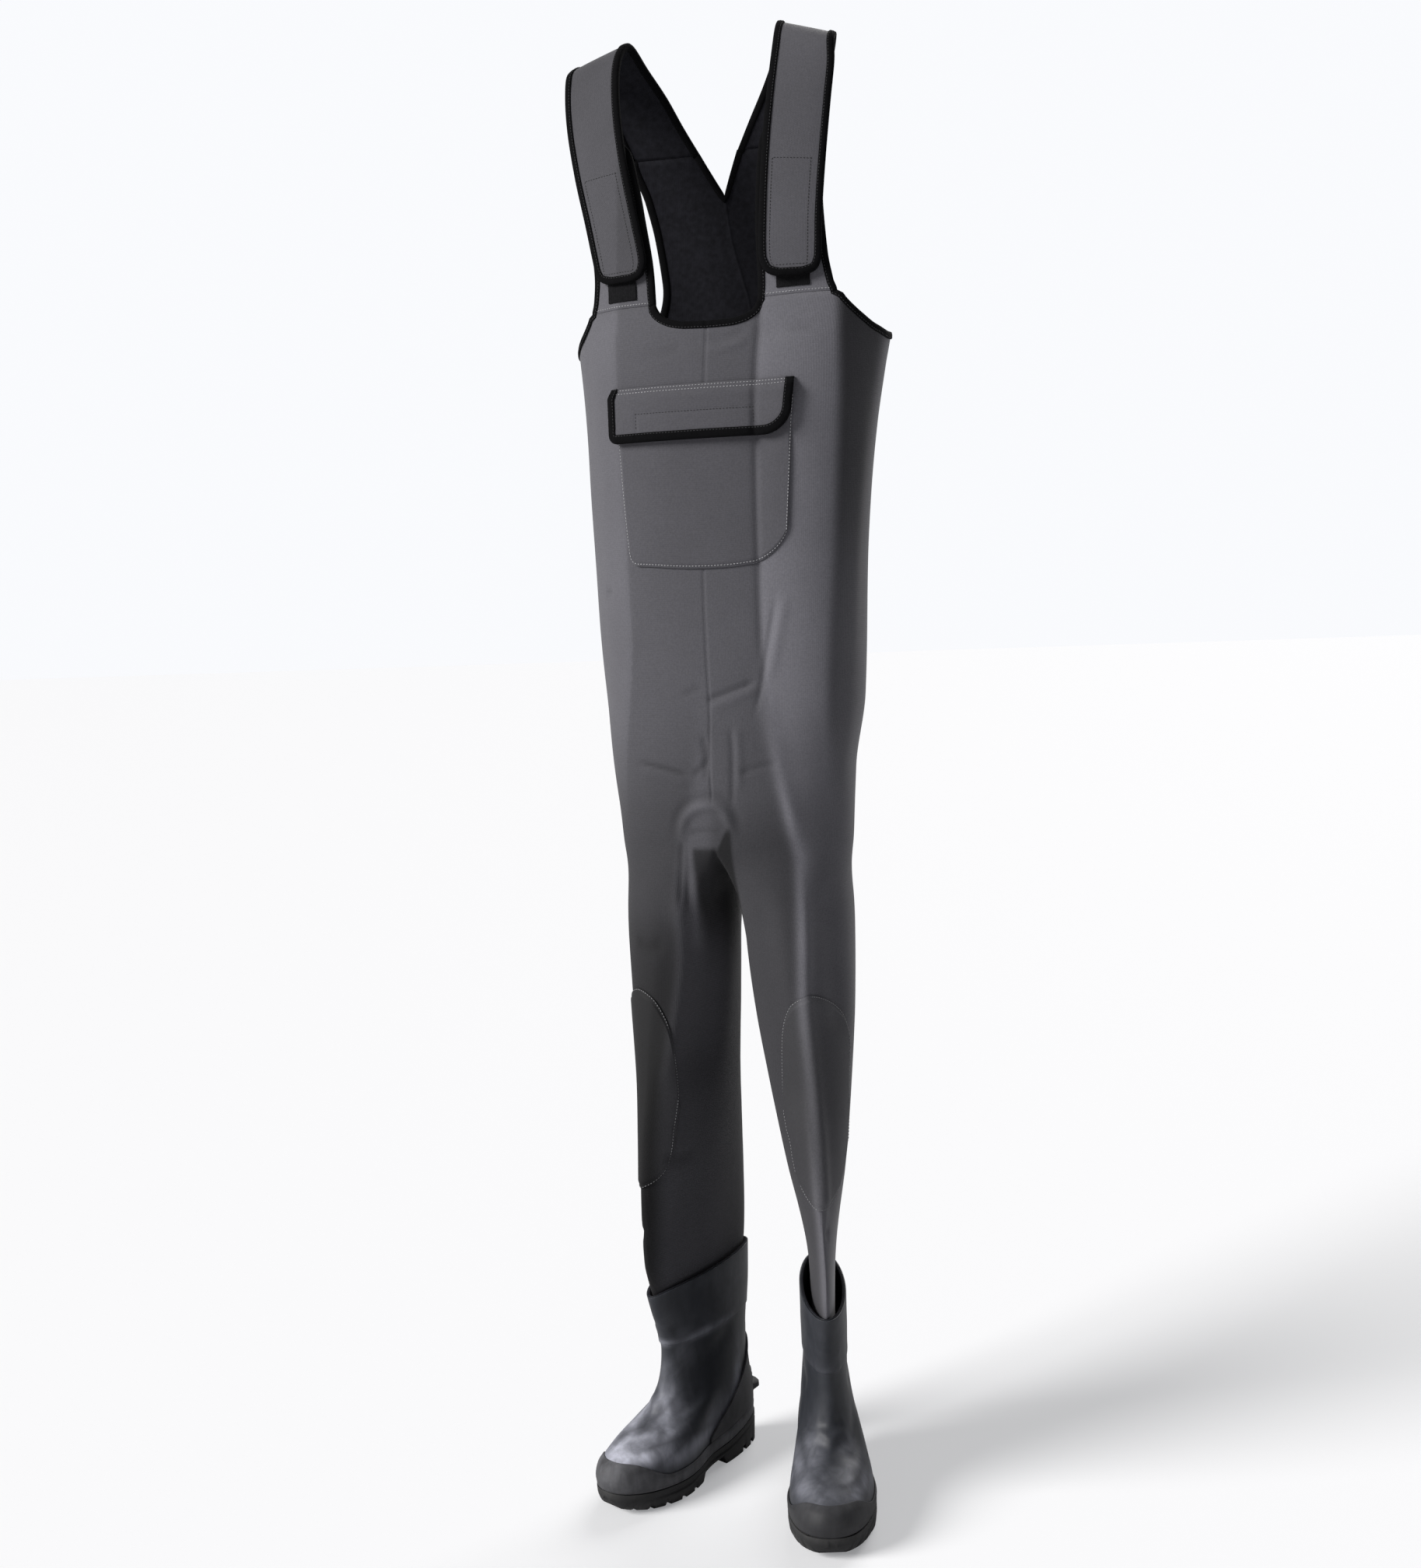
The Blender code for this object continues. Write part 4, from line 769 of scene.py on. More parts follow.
def suitSheet(inset):
    z = np.concatenate([np.linspace(suit["forkZ"], suit["bellyZ"], suit["bellyRows"], endpoint=False),
                        np.linspace(suit["bellyZ"], suit["topStartZ"], suit["torsoRows"])])
    body = [torsoPoint(columnDegrees, h, -inset) for h in z]
    top = bibTopAt(columnDegrees)
    for step in range(1, suit["topRows"] + 1):
        body.append(torsoPoint(columnDegrees, mix(suit["topStartZ"], top, step / suit["topRows"]), -inset))
    body = np.array(body)
    index = np.arange(body.shape[0] * columnCount).reshape(body.shape[:2])
    faces = [quadsOf(index, True)]
    points = [body.reshape(-1, 3)]
    total = index.size

    back = slice(columnAt(suit["sideColumn"]), columnAt(fullTurn - suit["sideColumn"]) + 1)
    base = body[-1, back]
    share = (base[:, 0] - along(torso, "backShift", base[:, 2])) / (backPanel["half"][0] - inset)
    panel = [base]
    for step in range(1, suit["backRows"] + 1):
        rise = step / suit["backRows"]
        level = np.interp(rise * (len(backPanel["z"]) - 1), np.arange(len(backPanel["z"])), backPanel["z"])
        drop = suit["veeDrop"] * np.maximum(0.0, 1.0 - np.abs(share) / suit["veeHalf"])
        h = level - drop * rise ** 3
        panel.append(torsoPoint(degreesAt(share * along(backPanel, "half", level), h, "back"), h, -inset))
    panelIndex = np.arange(total, total + suit["backRows"] * len(base)).reshape(suit["backRows"], -1)
    points.append(np.concatenate(panel[1:]))
    total += panelIndex.size
    panelIndex = np.concatenate([index[-1:, back], panelIndex])
    faces.append(quadsOf(panelIndex))

    half = columnAt(halfTurn)
    share = np.arange(1, suit["crotchColumns"] + 1)[:, None] / (suit["crotchColumns"] + 1)
    crotch = mix(body[0, half], body[0, 0], share)
    crotch[:, 2] -= suit["crotchDip"] * np.sin(np.pi * share[:, 0]) - inset
    crotchIndex = np.arange(total, total + len(crotch))
    points.append(crotch)
    total += len(crotch)
    for boot in boots.values():
        if boot["side"] > 0:
            upper = np.concatenate([index[0, :half + 1], crotchIndex])
            edge = np.concatenate([body[0, :half + 1], crotch])
        else:
            upper = np.concatenate([index[0, half:], index[0, :1], crotchIndex[::-1]])
            edge = np.concatenate([body[0, half:], body[0, :1], crotch[::-1]])
        first = legRing(boot, suit["legTopZ"], inset)
        rings = [mix(edge, first, step / suit["forkRows"]) for step in range(1, suit["forkRows"] + 1)]
        for h in np.linspace(suit["legTopZ"], suit["legEndZ"], suit["legRows"])[1:]:
            rings.append(legRing(boot, h, inset))
        rings = np.array(rings)
        own = np.arange(total, total + rings.shape[0] * rings.shape[1]).reshape(rings.shape[:2])
        points.append(rings.reshape(-1, 3))
        total += own.size
        faces.append(quadsOf(np.concatenate([upper[None], own])[::-1], True))
    return np.concatenate(points), np.concatenate(faces), index, panelIndex


def relax(points, faces, weight, rounds):   # evens out the fork, where the torso divides into the legs
    a = np.concatenate([faces[:, i] for i in range(4)] + [faces[:, (i + 1) % 4] for i in range(4)])
    b = np.concatenate([faces[:, (i + 1) % 4] for i in range(4)] + [faces[:, i] for i in range(4)])
    number = np.bincount(a, minlength=len(points))[:, None]
    for _ in range(rounds):
        total = np.stack([np.bincount(a, points[b, i], len(points)) for i in range(3)], 1)
        points = mix(points, total / number, weight[:, None])
    return points


suitOuter, suitFaces, suitIndex, panelIndex = suitSheet(0.0)
suitInner = suitSheet(suit["wall"])[0]
forkWeight = 0.5 * np.exp(-((suitOuter[:, 2] - suit["relaxZ"]) / suit["relaxSpread"]) ** 2)
suitOuter = relax(suitOuter, suitFaces, forkWeight, suit["relaxRounds"])
suitInner = relax(suitInner, suitFaces, forkWeight, suit["relaxRounds"])
suitNormal = pointNormals(suitOuter, suitFaces)
lift = clothMove(suitOuter)
high = smoothStep(*suit["seamFrom"], suitOuter[:, 2])
for middle, hand in (("shift", -1), ("backShift", 1)):   # the middle seams of front and back
    offset = np.abs(suitOuter[:, 0] - along(torso, middle, suitOuter[:, 2]))
    onFace = suitOuter[:, 1] * hand > suit["seamFace"]
    lift -= np.where(onFace, suit["seamDepth"] * high * np.exp(-(offset / suit["seamWidth"]) ** 2), 0.0)
suitMove = suitNormal * lift[:, None]
suitOuter, suitInner = suitOuter + suitMove, suitInner + suitMove
suitCount = len(suitOuter)
suitWall = wallFaces(suitFaces, suitCount)
suitSlots = (np.arange(len(suitWall)) >= len(suitFaces)).astype(int)
wrap = np.arctan2(suitOuter[:, 0], -suitOuter[:, 1]) * suit["weaveRadius"]
suitWeave = np.stack([wrap, suitOuter[:, 2], np.zeros(suitCount)], 1)
suitPiece = addMesh("suit_cloth", np.concatenate([suitOuter, suitInner]), suitWall, [neoprene, lining],
                    suitSlots, {"weave": np.concatenate([suitWeave, suitWeave])})
settle(suitPiece, "neoprene", "suit")
print("suit made,", len(suitWall), "faces")

# stitch lines are gathered here and sewn at the end, each lifted a little off its cloth
stitchLines = {"greyThread": [], "dullThread": [], "blackThread": []}
threadLift = {"tab": 0.0003, "cloth": 0.0002, "patch": 0.0001}


def stitchAlong(thread, points, normals, lifted=0.0):
    points = np.asarray(points) + np.asarray(normals) * lifted
    stitchLines[thread].append((points, np.asarray(normals)))


# folded edge tape
tape = {
    "lap": 0.0062, "turn": 0.0060, "thick": 0.0014, "roll": 0.0017, "gap": 0.00012, "sewn": 0.0015,
    "hem": 0.0007, "start": 0.0012, "tuck": 0.0001, "lean": 0.8, "smooth": 4, "nose": 8, "weaveStep": 0.0012,
}


def smoothAlong(vectors, width):
    padded = np.concatenate([vectors[:1].repeat(width, 0), vectors, vectors[-1:].repeat(width, 0)])
    kernel = np.ones(2 * width + 1) / (2 * width + 1)
    return np.stack([np.convolve(padded[:, i], kernel, "valid") for i in range(3)], 1)


def tapeRun(edge, deep, edgeIn, deepIn, lap=tape["lap"]):   # sections of a tape folded over an edge
    middle = (edge + edgeIn) / 2
    run = unit(smoothAlong(np.gradient(middle, axis=0), 2))
    face = unit(smoothAlong(edge - edgeIn, 2))
    inward = (deep - edge) + (deepIn - edgeIn)
    for line in (run, face):
        inward -= line * np.sum(line * inward, 1, keepdims=True)
    inward = unit(smoothAlong(unit(inward), tape["smooth"]))
    leanOut = inward + face * np.sum(unit(deep - edge) * face, 1, keepdims=True) * tape["lean"]
    leanIn = inward + face * np.sum(unit(deepIn - edgeIn) * face, 1, keepdims=True) * tape["lean"]
    thick, roll, gap, turn, hem, start = (tape[k] for k in ("thick", "roll", "gap", "turn", "hem", "start"))
    # how far in from the edge and how high off the cloth, on either face
    outerSide = ((lap, gap), (lap, thick * 0.55), (lap - hem, thick * 0.95), (lap * 0.62, thick * 1.12),
                 (lap * 0.3, thick * 1.12), (start, thick))
    innerSide = ((start, thick), (turn * 0.5, thick * 1.05), (turn - hem, thick * 0.9), (turn, thick * 0.5),
                 (turn, gap), (-tape["tuck"], gap))
    ring = [edge + leanOut * a + face * h for a, h in outerSide]
    ring += [edge - inward * roll * 0.55 + face * thick * 0.62, edge - inward * roll * 0.9]
    ring += [middle - inward * roll]
    ring += [edgeIn - inward * roll * 0.9, edgeIn - inward * roll * 0.55 - face * thick * 0.62]
    ring += [edgeIn + leanIn * a - face * h for a, h in innerSide]
    ring += [edge - inward * tape["tuck"] + face * gap]
    ring = np.stack(ring, 1)
    if np.sum(run[0] * np.cross(face[0], -inward[0])) < 0:
        ring = ring[:, ::-1]
    return ring, edge + leanOut * (lap - tape["sewn"]) + face * thick * 1.02, face


def addTape(name, run, node, part=slice(None)):
    ring, sewn, face = (values[part] for values in run)
    stations, size = ring.shape[:2]
    index = np.arange(stations * size).reshape(stations, size)
    faces = quadsOf(index, True)[:, ::-1].tolist()
    faces += [index[0].tolist(), index[-1][::-1].tolist()]
    length = np.concatenate([[0], np.cumsum(np.linalg.norm(np.diff(ring[:, tape["nose"]], axis=0), axis=1))])
    weave = np.stack([np.repeat(length, size), np.tile(np.arange(size) * tape["weaveStep"], stations),
                      np.zeros(stations * size)], 1)
    settle(addMesh(name, ring.reshape(-1, 3), faces, [tapeCloth], None, {"weave": weave}), "binding", node)
    stitchAlong("blackThread", sewn, face)


def rimIds(rows, columns, deepBy):   # up one side, across the end row and down, with the points further in
    last = columns - 1
    edge = [(r, 0) for r in range(rows - 1)] + [(rows - 1, c) for c in range(columns)]
    edge += [(r, last) for r in range(rows - 2, -1, -1)]
    deep = [(min(r, rows - 1 - deepBy), deepBy) for r in range(rows - 1)]
    deep += [(rows - 1 - deepBy, min(max(c, deepBy), last - deepBy)) for c in range(columns)]
    deep += [(min(r, rows - 1 - deepBy), last - deepBy) for r in range(rows - 2, -1, -1)]
    return edge, deep


def loopIds(row0, row1, column0, column1):   # once round a rectangle of grid points
    ids = [(row0, c) for c in range(column0, column1 + 1)] + [(r, column1) for r in range(row0 + 1, row1 + 1)]
    ids += [(row1, c) for c in range(column1 - 1, column0 - 1, -1)]
    return ids + [(r, column0) for r in range(row1 - 1, row0 - 1, -1)]


def pick(grid, ids):
    return np.array([grid[i] for i in ids])


def pickAll(outer, inner, edge, deep):
    return [pick(grid, ids) for grid in (outer, inner) for ids in (edge, deep)]


# tabs that carry on the bib upwards
tab = {
    "shape": tableOf(
        "z inner outer", (1.2984, 0.0572, 0.1340), (1.3100, 0.0578, 0.1308), (1.3400, 0.0590, 0.1280),
        (1.390, 0.0630, 0.1290), (1.440, 0.0690, 0.1350), (1.465, 0.0740, 0.1370), (1.480, 0.0840, 0.1290),
    ),
    "columns": 28, "rows": 60, "tapeColumns": 3, "foldZ": (1.36, 1.30),   # where the front's planes run out
}


def tabGrid(shape, columns, rows, side, out):
    z = np.linspace(shape["z"][0], shape["z"][-1], rows)[:, None]
    share = np.linspace(0, 1, columns)[None]
    if side < 0:
        share = 1 - share
    x = side * mix(along(shape, "inner", z), along(shape, "outer", z), share)
    z = np.broadcast_to(z, x.shape)
    degrees = degreesAt(x, z, "front")
    low = planeMove(torsoPoint(degrees, z).reshape(-1, 3)).reshape(x.shape) * smoothStep(*tab["foldZ"], z)
    return overTorso(degrees, z, low + out)


def sheetEdge(edgeIds, deepIds):
    e, d = np.array(edgeIds), np.array(deepIds)
    return [suitOuter[e], suitOuter[d], suitInner[e], suitInner[d]]


def makeBibEdges():   # one run of tape from armhole to armhole, cut where the maker would join it
    topRow, belowTop = suitIndex[-1], suitIndex[-3]
    sideIds = [i for i, u in enumerate(columnsU) if suit["tabColumn"] < u <= suit["sideColumn"]]
    otherIds = [columnAt(fullTurn - columnsU[i]) for i in sideIds]
    neckIds = [i for i, u in enumerate(columnsU) if u > fullTurn - suit["neckColumn"]]
    neckIds += [i for i, u in enumerate(columnsU) if u < suit["neckColumn"]]
    parts = []
    parts.append(("armhole_binding_right", "armhole_tape_right",
                  sheetEdge(list(panelIndex[:0:-1, -1]) + list(topRow[otherIds[::-1]]),
                            list(panelIndex[:0:-1, -3]) + list(belowTop[otherIds[::-1]]))))
    for side in ("right", "left"):
        hand = boots[side]["side"]
        outer = tabGrid(tab["shape"], tab["columns"], tab["rows"], hand, 0.0)
        inner = tabGrid(tab["shape"], tab["columns"], tab["rows"], hand, -suit["wall"])
        piece = addWall("tab_cloth_" + side, outer, inner, [neoprene, lining], lined=True)
        settle(piece, "neoprene", "front_tab_" + side)
        edge, deep = rimIds(tab["rows"], tab["columns"], tab["tapeColumns"])
        parts.append(("tab_binding_" + side, "tab_tape_" + side, pickAll(outer, inner, edge, deep)))
        normal = gridNormals(outer)
        stitchAlong("greyThread", outer[1, 2:-2], normal[1, 2:-2], threadLift["tab"])
        if side == "right":
            parts.append(("neck_binding", "neck_tape", sheetEdge(topRow[neckIds], belowTop[neckIds])))
    parts.append(("armhole_binding_left", "armhole_tape_left",
                  sheetEdge(list(topRow[sideIds]) + list(panelIndex[1:, 0]),
                            list(belowTop[sideIds]) + list(panelIndex[1:, 2]))))
    run = tapeRun(*(np.concatenate([part[2][k] for part in parts]) for k in range(4)))
    start = 0
    for name, node, stations in parts:
        end = start + len(stations[0])
        addTape(name, run, node, slice(max(start - 1, 0), end))
        start = end


makeBibEdges()
panelColumns = columnsU[columnAt(suit["sideColumn"]):columnAt(fullTurn - suit["sideColumn"]) + 1]
veeIds = [i for i, u in enumerate(panelColumns) if halfTurn - 1 <= u <= halfTurn + 1]
veeRun = tapeRun(*sheetEdge(panelIndex[-1][veeIds], panelIndex[-4][veeIds]))
addTape("back_vee_binding", veeRun, "back_vee_tape")
print("tabs and suit bindings made")

# pocket and its flap
pocket = {
    "sides": tableOf("z left right", (1.022, -26.6, 31.0), (1.060, -28.0, 32.0), (1.110, -29.6, 32.2),
                     (1.196, -31.6, 31.6)),
    "lowZ": 1.0270, "topZ": 1.196, "sagLow": 0.0055, "leftRound": 0.009, "rightRound": 0.036,
    "thick": 0.0030, "edge": 0.0008, "roll": 0.0050, "gap": 0.0003, "sewn": 0.0034, "groove": 0.0006,
    "grooveWidth": 0.0012, "columns": 96, "rows": 70, "crowd": 0.55, "crowdLow": 1.15, "sewnIn": 2,
}
flap = {
    "from": -33.0, "to": 30.2, "seamZ": 1.214, "lowZ": 1.158, "leftRound": 0.0085, "rightRound": 0.025,
    "thick": 0.0040, "lowThick": 0.0022, "lowRoll": 0.005, "standoff": 0.0056, "fall": (0.76, 0.98),
    "gap": 0.0005, "columns": 110, "rows": 30, "crowd": 0.60, "lap": 0.0080, "tapeRows": 3, "tapeColumns": 4,
    "sewnRows": (2, 4), "patchX": (-0.061, 0.062), "patchZ": (1.1715, 1.1855), "patchDepth": 0.0005,
    "patchSide": 0.0014, "patchTop": 0.0016, "patchSink": 0.0004,
}


def cornerLift(x, leftRound, rightRound):   # rounds the lower corners of a patch
    lift = np.zeros_like(x)
    for away, radius in ((x - x[0], leftRound), (x[-1] - x, rightRound)):
        short = np.clip(radius - away, 0.0, radius)
        lift += radius - np.sqrt(radius * radius - short * short)
    return lift


def endHeavy(count, weight):   # shares from 0 to 1 that lie closer together at both ends
    even = np.linspace(-1, 1, count)
    return (np.sin(even * np.pi / 2) * weight + even * (1 - weight) + 1) / 2


def edgeDistance(grid):   # distance from each point of a grid to its two sides, its first and its last row
    across = np.cumsum(np.linalg.norm(np.diff(grid, axis=1, prepend=grid[:, :1]), axis=2), 1)
    up = np.cumsum(np.linalg.norm(np.diff(grid, axis=0, prepend=grid[:1]), axis=2), 0)
    return across, across[:, -1:] - across, up, up[-1:] - up


def puffed(patch, edge):   # thin at the edge, with a groove where it is sewn
    puff = mix(patch["edge"], patch["thick"], smoothStep(0.0, patch["roll"], edge))
    return puff - patch["groove"] * np.exp(-((edge - patch["sewn"]) / patch["grooveWidth"]) ** 2)


def creased(degrees, z, out):
    points = overTorso(degrees, z, out)
    flat = torsoPoint(degrees, z).reshape(-1, 3)
    move = clothMove(flat).reshape(degrees.shape)
    return points + torsoNormal(degrees, z) * move[..., None]


def frontShade(grid):   # pocket and flap keep one painted shade across the valley fold, apart from the painted crease lines, such as the fold's dark line
    move = creaseMove(grid.reshape(-1, 3), shadeLines).reshape(grid.shape[:2])
    return planeShading["front"] * np.clip(1.0 + move, 0.4, 1.2)


def makePocket():
    sides = pocket["sides"]
    share = endHeavy(pocket["columns"], pocket["crowd"])
    base = torsoPoint(mix(sides["left"][0], sides["right"][0], share), pocket["lowZ"])
    low = pocket["lowZ"] + cornerLift(base[:, 0], pocket["leftRound"], pocket["rightRound"])
    low -= pocket["sagLow"] * np.sin(np.pi * share) ** 2
    rise = np.linspace(0, 1, pocket["rows"])[:, None] ** pocket["crowdLow"]
    z = mix(low, pocket["topZ"], rise)
    degrees = mix(along(sides, "left", z), along(sides, "right", z), share)
    edge = np.minimum.reduce(edgeDistance(torsoPoint(degrees, z))[:3])
    outer = creased(degrees, z, pocket["gap"] + puffed(pocket, edge))
    inner = creased(degrees, z, np.full(z.shape, pocket["gap"]))
    piece = addWall("pocket_cloth", outer, inner, [pocketCloth], marks={"shade": frontShade(outer)})
    settle(piece, "neoprene", "pocket_panel")
    normal = torsoNormal(degrees, z)
    inset = pocket["sewnIn"]
    path = [(r, inset) for r in range(pocket["rows"] - 1, inset, -1)]
    path += [(inset, c) for c in range(inset, pocket["columns"] - inset)]
    path += [(r, pocket["columns"] - 1 - inset) for r in range(inset + 1, pocket["rows"])]
    stitchAlong("greyThread", smoothAlong(pick(outer, path), 1), pick(normal, path), threadLift["cloth"])


def patchGroove(x, z):   # the flap's hook patch shows as a shallow line at its sides and top
    first, last = flap["patchX"]
    top = flap["patchZ"][1]
    beside = np.minimum(np.abs(x - first), np.abs(x - last))
    sides = np.exp(-(beside / flap["patchSide"]) ** 2) * (z < top)
    return np.maximum(sides, np.exp(-((z - top) / flap["patchTop"]) ** 2) * ((x > first) & (x < last)))


def makeFlap():
    degrees = mix(flap["from"], flap["to"], endHeavy(flap["columns"], flap["crowd"]))
    lift = cornerLift(torsoPoint(degrees, flap["lowZ"])[:, 0], flap["leftRound"], flap["rightRound"])
    step = np.linspace(0, 1, flap["rows"])[:, None]
    z = mix(flap["lowZ"] + lift, flap["seamZ"], step)
    degrees = np.broadcast_to(degrees, z.shape)
    flat = torsoPoint(degrees, z)
    stand = flap["gap"] + (flap["standoff"] - flap["gap"]) * (1 - smoothStep(*flap["fall"], step))
    thick = mix(flap["lowThick"], flap["thick"], smoothStep(0.0, flap["lowRoll"], edgeDistance(flat)[3]))
    outer = creased(degrees, z, stand + thick - flap["patchDepth"] * patchGroove(flat[..., 0], z))
    inner = creased(degrees, z, stand + 0 * z)
    piece = addWall("flap_cloth", outer, inner, [pocketCloth, lining], False, None,
                    {"shade": frontShade(outer)}, True)
    settle(piece, "neoprene", "pocket_flap")
    last, upTo = flap["columns"] - 1, flap["rows"] - 1
    deepRow, deepColumn = flap["tapeRows"], flap["tapeColumns"]
    edge = [(r, 0) for r in range(upTo, 0, -1)] + [(0, c) for c in range(last + 1)]
    edge += [(r, last) for r in range(1, upTo + 1)]
    deep = [(r, deepColumn) for r in range(upTo, 0, -1)]
    deep += [(deepRow, min(max(c, deepColumn), last - deepColumn)) for c in range(last + 1)]
    deep += [(r, last - deepColumn) for r in range(1, upTo + 1)]
    addTape("flap_binding", tapeRun(*pickAll(outer, inner, edge, deep), flap["lap"]), "flap_tape")
    normal = torsoNormal(degrees, z)
    for row in flap["sewnRows"]:
        stitchAlong("greyThread", outer[-row, 2:-2], normal[-row, 2:-2], threadLift["cloth"])
    for x in flap["patchX"]:
        sewFront(np.full(8, x), np.linspace(*flap["patchZ"], 8))
    sewFront(np.linspace(*flap["patchX"], 40), np.full(40, flap["patchZ"][1]))


def sewFront(x, z):   # a stitch line of the hook patch, on the flap's face
    degrees = degreesAt(x - along(torso, "shift", z), z, "front")
    out = flap["standoff"] + flap["thick"] - flap["patchSink"]
    stitchAlong("blackThread", creased(degrees, z, np.full(len(x), out)), torsoNormal(degrees, z))


makePocket()
makeFlap()
print("pocket and flap made")

# knee patches
knee = {
    "shape": tableOf("degrees low high", (-46, 0.384, 0.432), (-40, 0.364, 0.460), (-30, 0.353, 0.502),
                     (-20, 0.348, 0.532), (0, 0.344, 0.557), (22.5, 0.345, 0.565), (45, 0.353, 0.556),
                     (62, 0.372, 0.539), (72, 0.402, 0.514)),
    "gap": 0.0004, "thick": 0.0026, "edge": 0.0010, "roll": 0.0060, "sewn": 0.0042, "groove": 0.0007,
    "grooveWidth": 0.0014, "columns": 56, "rows": 72, "crowd": 0.5, "sewnIn": 3,
}


def makeKnee(side, boot):
    shape = knee["shape"]
    degrees = mix(shape["degrees"][0], shape["degrees"][-1], endHeavy(knee["columns"], knee["crowd"]))
    low, high = along(shape, "low", degrees), along(shape, "high", degrees)
    z = mix(low, high, endHeavy(knee["rows"], 1.0)[:, None])
    degrees = np.broadcast_to(degrees, z.shape)
    if boot["side"] < 0:
        degrees, z = -degrees[:, ::-1], z[:, ::-1]
    flat = legPoint(boot, degrees, z)
    normal = gridNormals(flat)
    move = creaseMove(flat.reshape(-1, 3), creaseLines).reshape(z.shape) + knee["gap"]
    puff = puffed(knee, np.minimum.reduce(edgeDistance(flat)))
    outer, inner = flat + normal * (move + puff)[..., None], flat + normal * move[..., None]
    settle(addWall("knee_cloth_" + side, outer, inner, [kneeCloth]), "neoprene", "knee_patch_" + side)
    inset = knee["sewnIn"]
    loop = loopIds(inset, knee["rows"] - 1 - inset, inset, knee["columns"] - 1 - inset)
    stitchAlong("dullThread", smoothAlong(pick(outer, loop), 2), pick(normal, loop), threadLift["cloth"])


for side, boot in boots.items():
    makeKnee(side, boot)
print("knee patches made")

# loop pads and shoulder straps
loopPad = {
    "shape": tableOf("z inner outer", (1.3060, 0.076, 0.110), (1.3450, 0.078, 0.112), (1.4200, 0.084, 0.118)),
    "thick": 0.0014, "gap": 0.0002, "columns": 14, "rows": 36, "edge": 0.0005,
}
strap = {
    "face": ("back",) * 4 + ("ridge",) + ("front",) * 9,
    "shape": (   # inner x, outer x, inner z, outer z
        (0.0240, 0.1030, 1.4850, 1.4850), (0.0410, 0.1140, 1.5150, 1.5120), (0.0580, 0.1260, 1.5450, 1.5380),
        (0.0740, 0.1370, 1.5720, 1.5600), (0.0835, 0.1440, 1.5900, 1.5710), (0.0865, 0.1465, 1.5770, 1.5580),
        (0.0865, 0.1470, 1.5500, 1.5350), (0.0825, 0.1430, 1.5050, 1.4960), (0.0755, 0.1355, 1.4500, 1.4450),
        (0.0680, 0.1270, 1.3950, 1.3930), (0.0630, 0.1220, 1.3530, 1.3530), (0.0640, 0.1200, 1.3400, 1.3400),
        (0.0690, 0.1150, 1.3310, 1.3310), (0.0800, 0.1040, 1.3265, 1.3265),
    ),
    "wall": 0.004, "standoff": 0.0045, "ridgeY": -0.002, "columns": 4, "fineRows": 8, "fineColumns": 6,
    "patchRows": (8.15, 11.4), "patchShares": (0.20, 0.82), "leftLonger": 0.010, "longerZ": (1.50, 1.38),
    "tapeColumns": 3, "sewnRows": (1, 3),
}


def strapMiddle(side):
    rows = []
    share = np.linspace(0, 1, strap["columns"] + 1)
    for face, (x0, x1, z0, z1) in zip(strap["face"], strap["shape"]):
        x, z = side * mix(x0, x1, share), mix(z0, z1, share)
        if side > 0 and face == "front":
            z = z - strap["leftLonger"] * smoothStep(*strap["longerZ"], z)
        if face == "ridge":
            row = torsoPoint(degreesAt(x, z, "front"), z)
            row[:, 1] = strap["ridgeY"]
        else:
            out = -strap["wall"] / 2 if face == "back" else strap["standoff"] + strap["wall"] / 2
            row = overTorso(degreesAt(x, z, face), z, np.full(x.shape, out))
        rows.append(row)
    grid = refine(refine(rows, strap["fineRows"], 0), strap["fineColumns"], 1)
    return grid[:, ::-1] if side > 0 else grid


def makeStrap(side, boot):
    size = (loopPad["columns"], loopPad["rows"], boot["side"])
    padOuter = tabGrid(loopPad["shape"], *size, loopPad["gap"] + loopPad["thick"])
    padInner = tabGrid(loopPad["shape"], *size, loopPad["gap"])
    pad = roundEdges(addWall("loop_pad_cloth_" + side, padOuter, padInner, [loopPile]), loopPad["edge"])
    settle(pad, "binding", "loop_pad_" + side)
    grid = strapMiddle(boot["side"])
    facing = gridNormals(grid)
    outer, inner = grid + facing * strap["wall"] / 2, grid - facing * strap["wall"] / 2
    piece = addWall("strap_cloth_" + side, outer, inner, [strapCloth, lining], lined=True)
    settle(piece, "neoprene", "strap_" + side)
    edge, deep = rimIds(*outer.shape[:2], strap["tapeColumns"])
    addTape("strap_binding_" + side, tapeRun(*pickAll(outer, inner, edge, deep)), "strap_tape_" + side)
    patchRows = (int(row * strap["fineRows"]) for row in strap["patchRows"])
    patchColumns = (int(round(share * (outer.shape[1] - 1))) for share in strap["patchShares"])
    loop = loopIds(*patchRows, *patchColumns)
    stitchAlong("blackThread", pick(outer, loop), pick(facing, loop), threadLift["patch"])
    for row in strap["sewnRows"]:
        stitchAlong("greyThread", outer[row, 2:-2], facing[row, 2:-2], threadLift["cloth"])


for side, boot in boots.items():
    makeStrap(side, boot)
print("straps made")

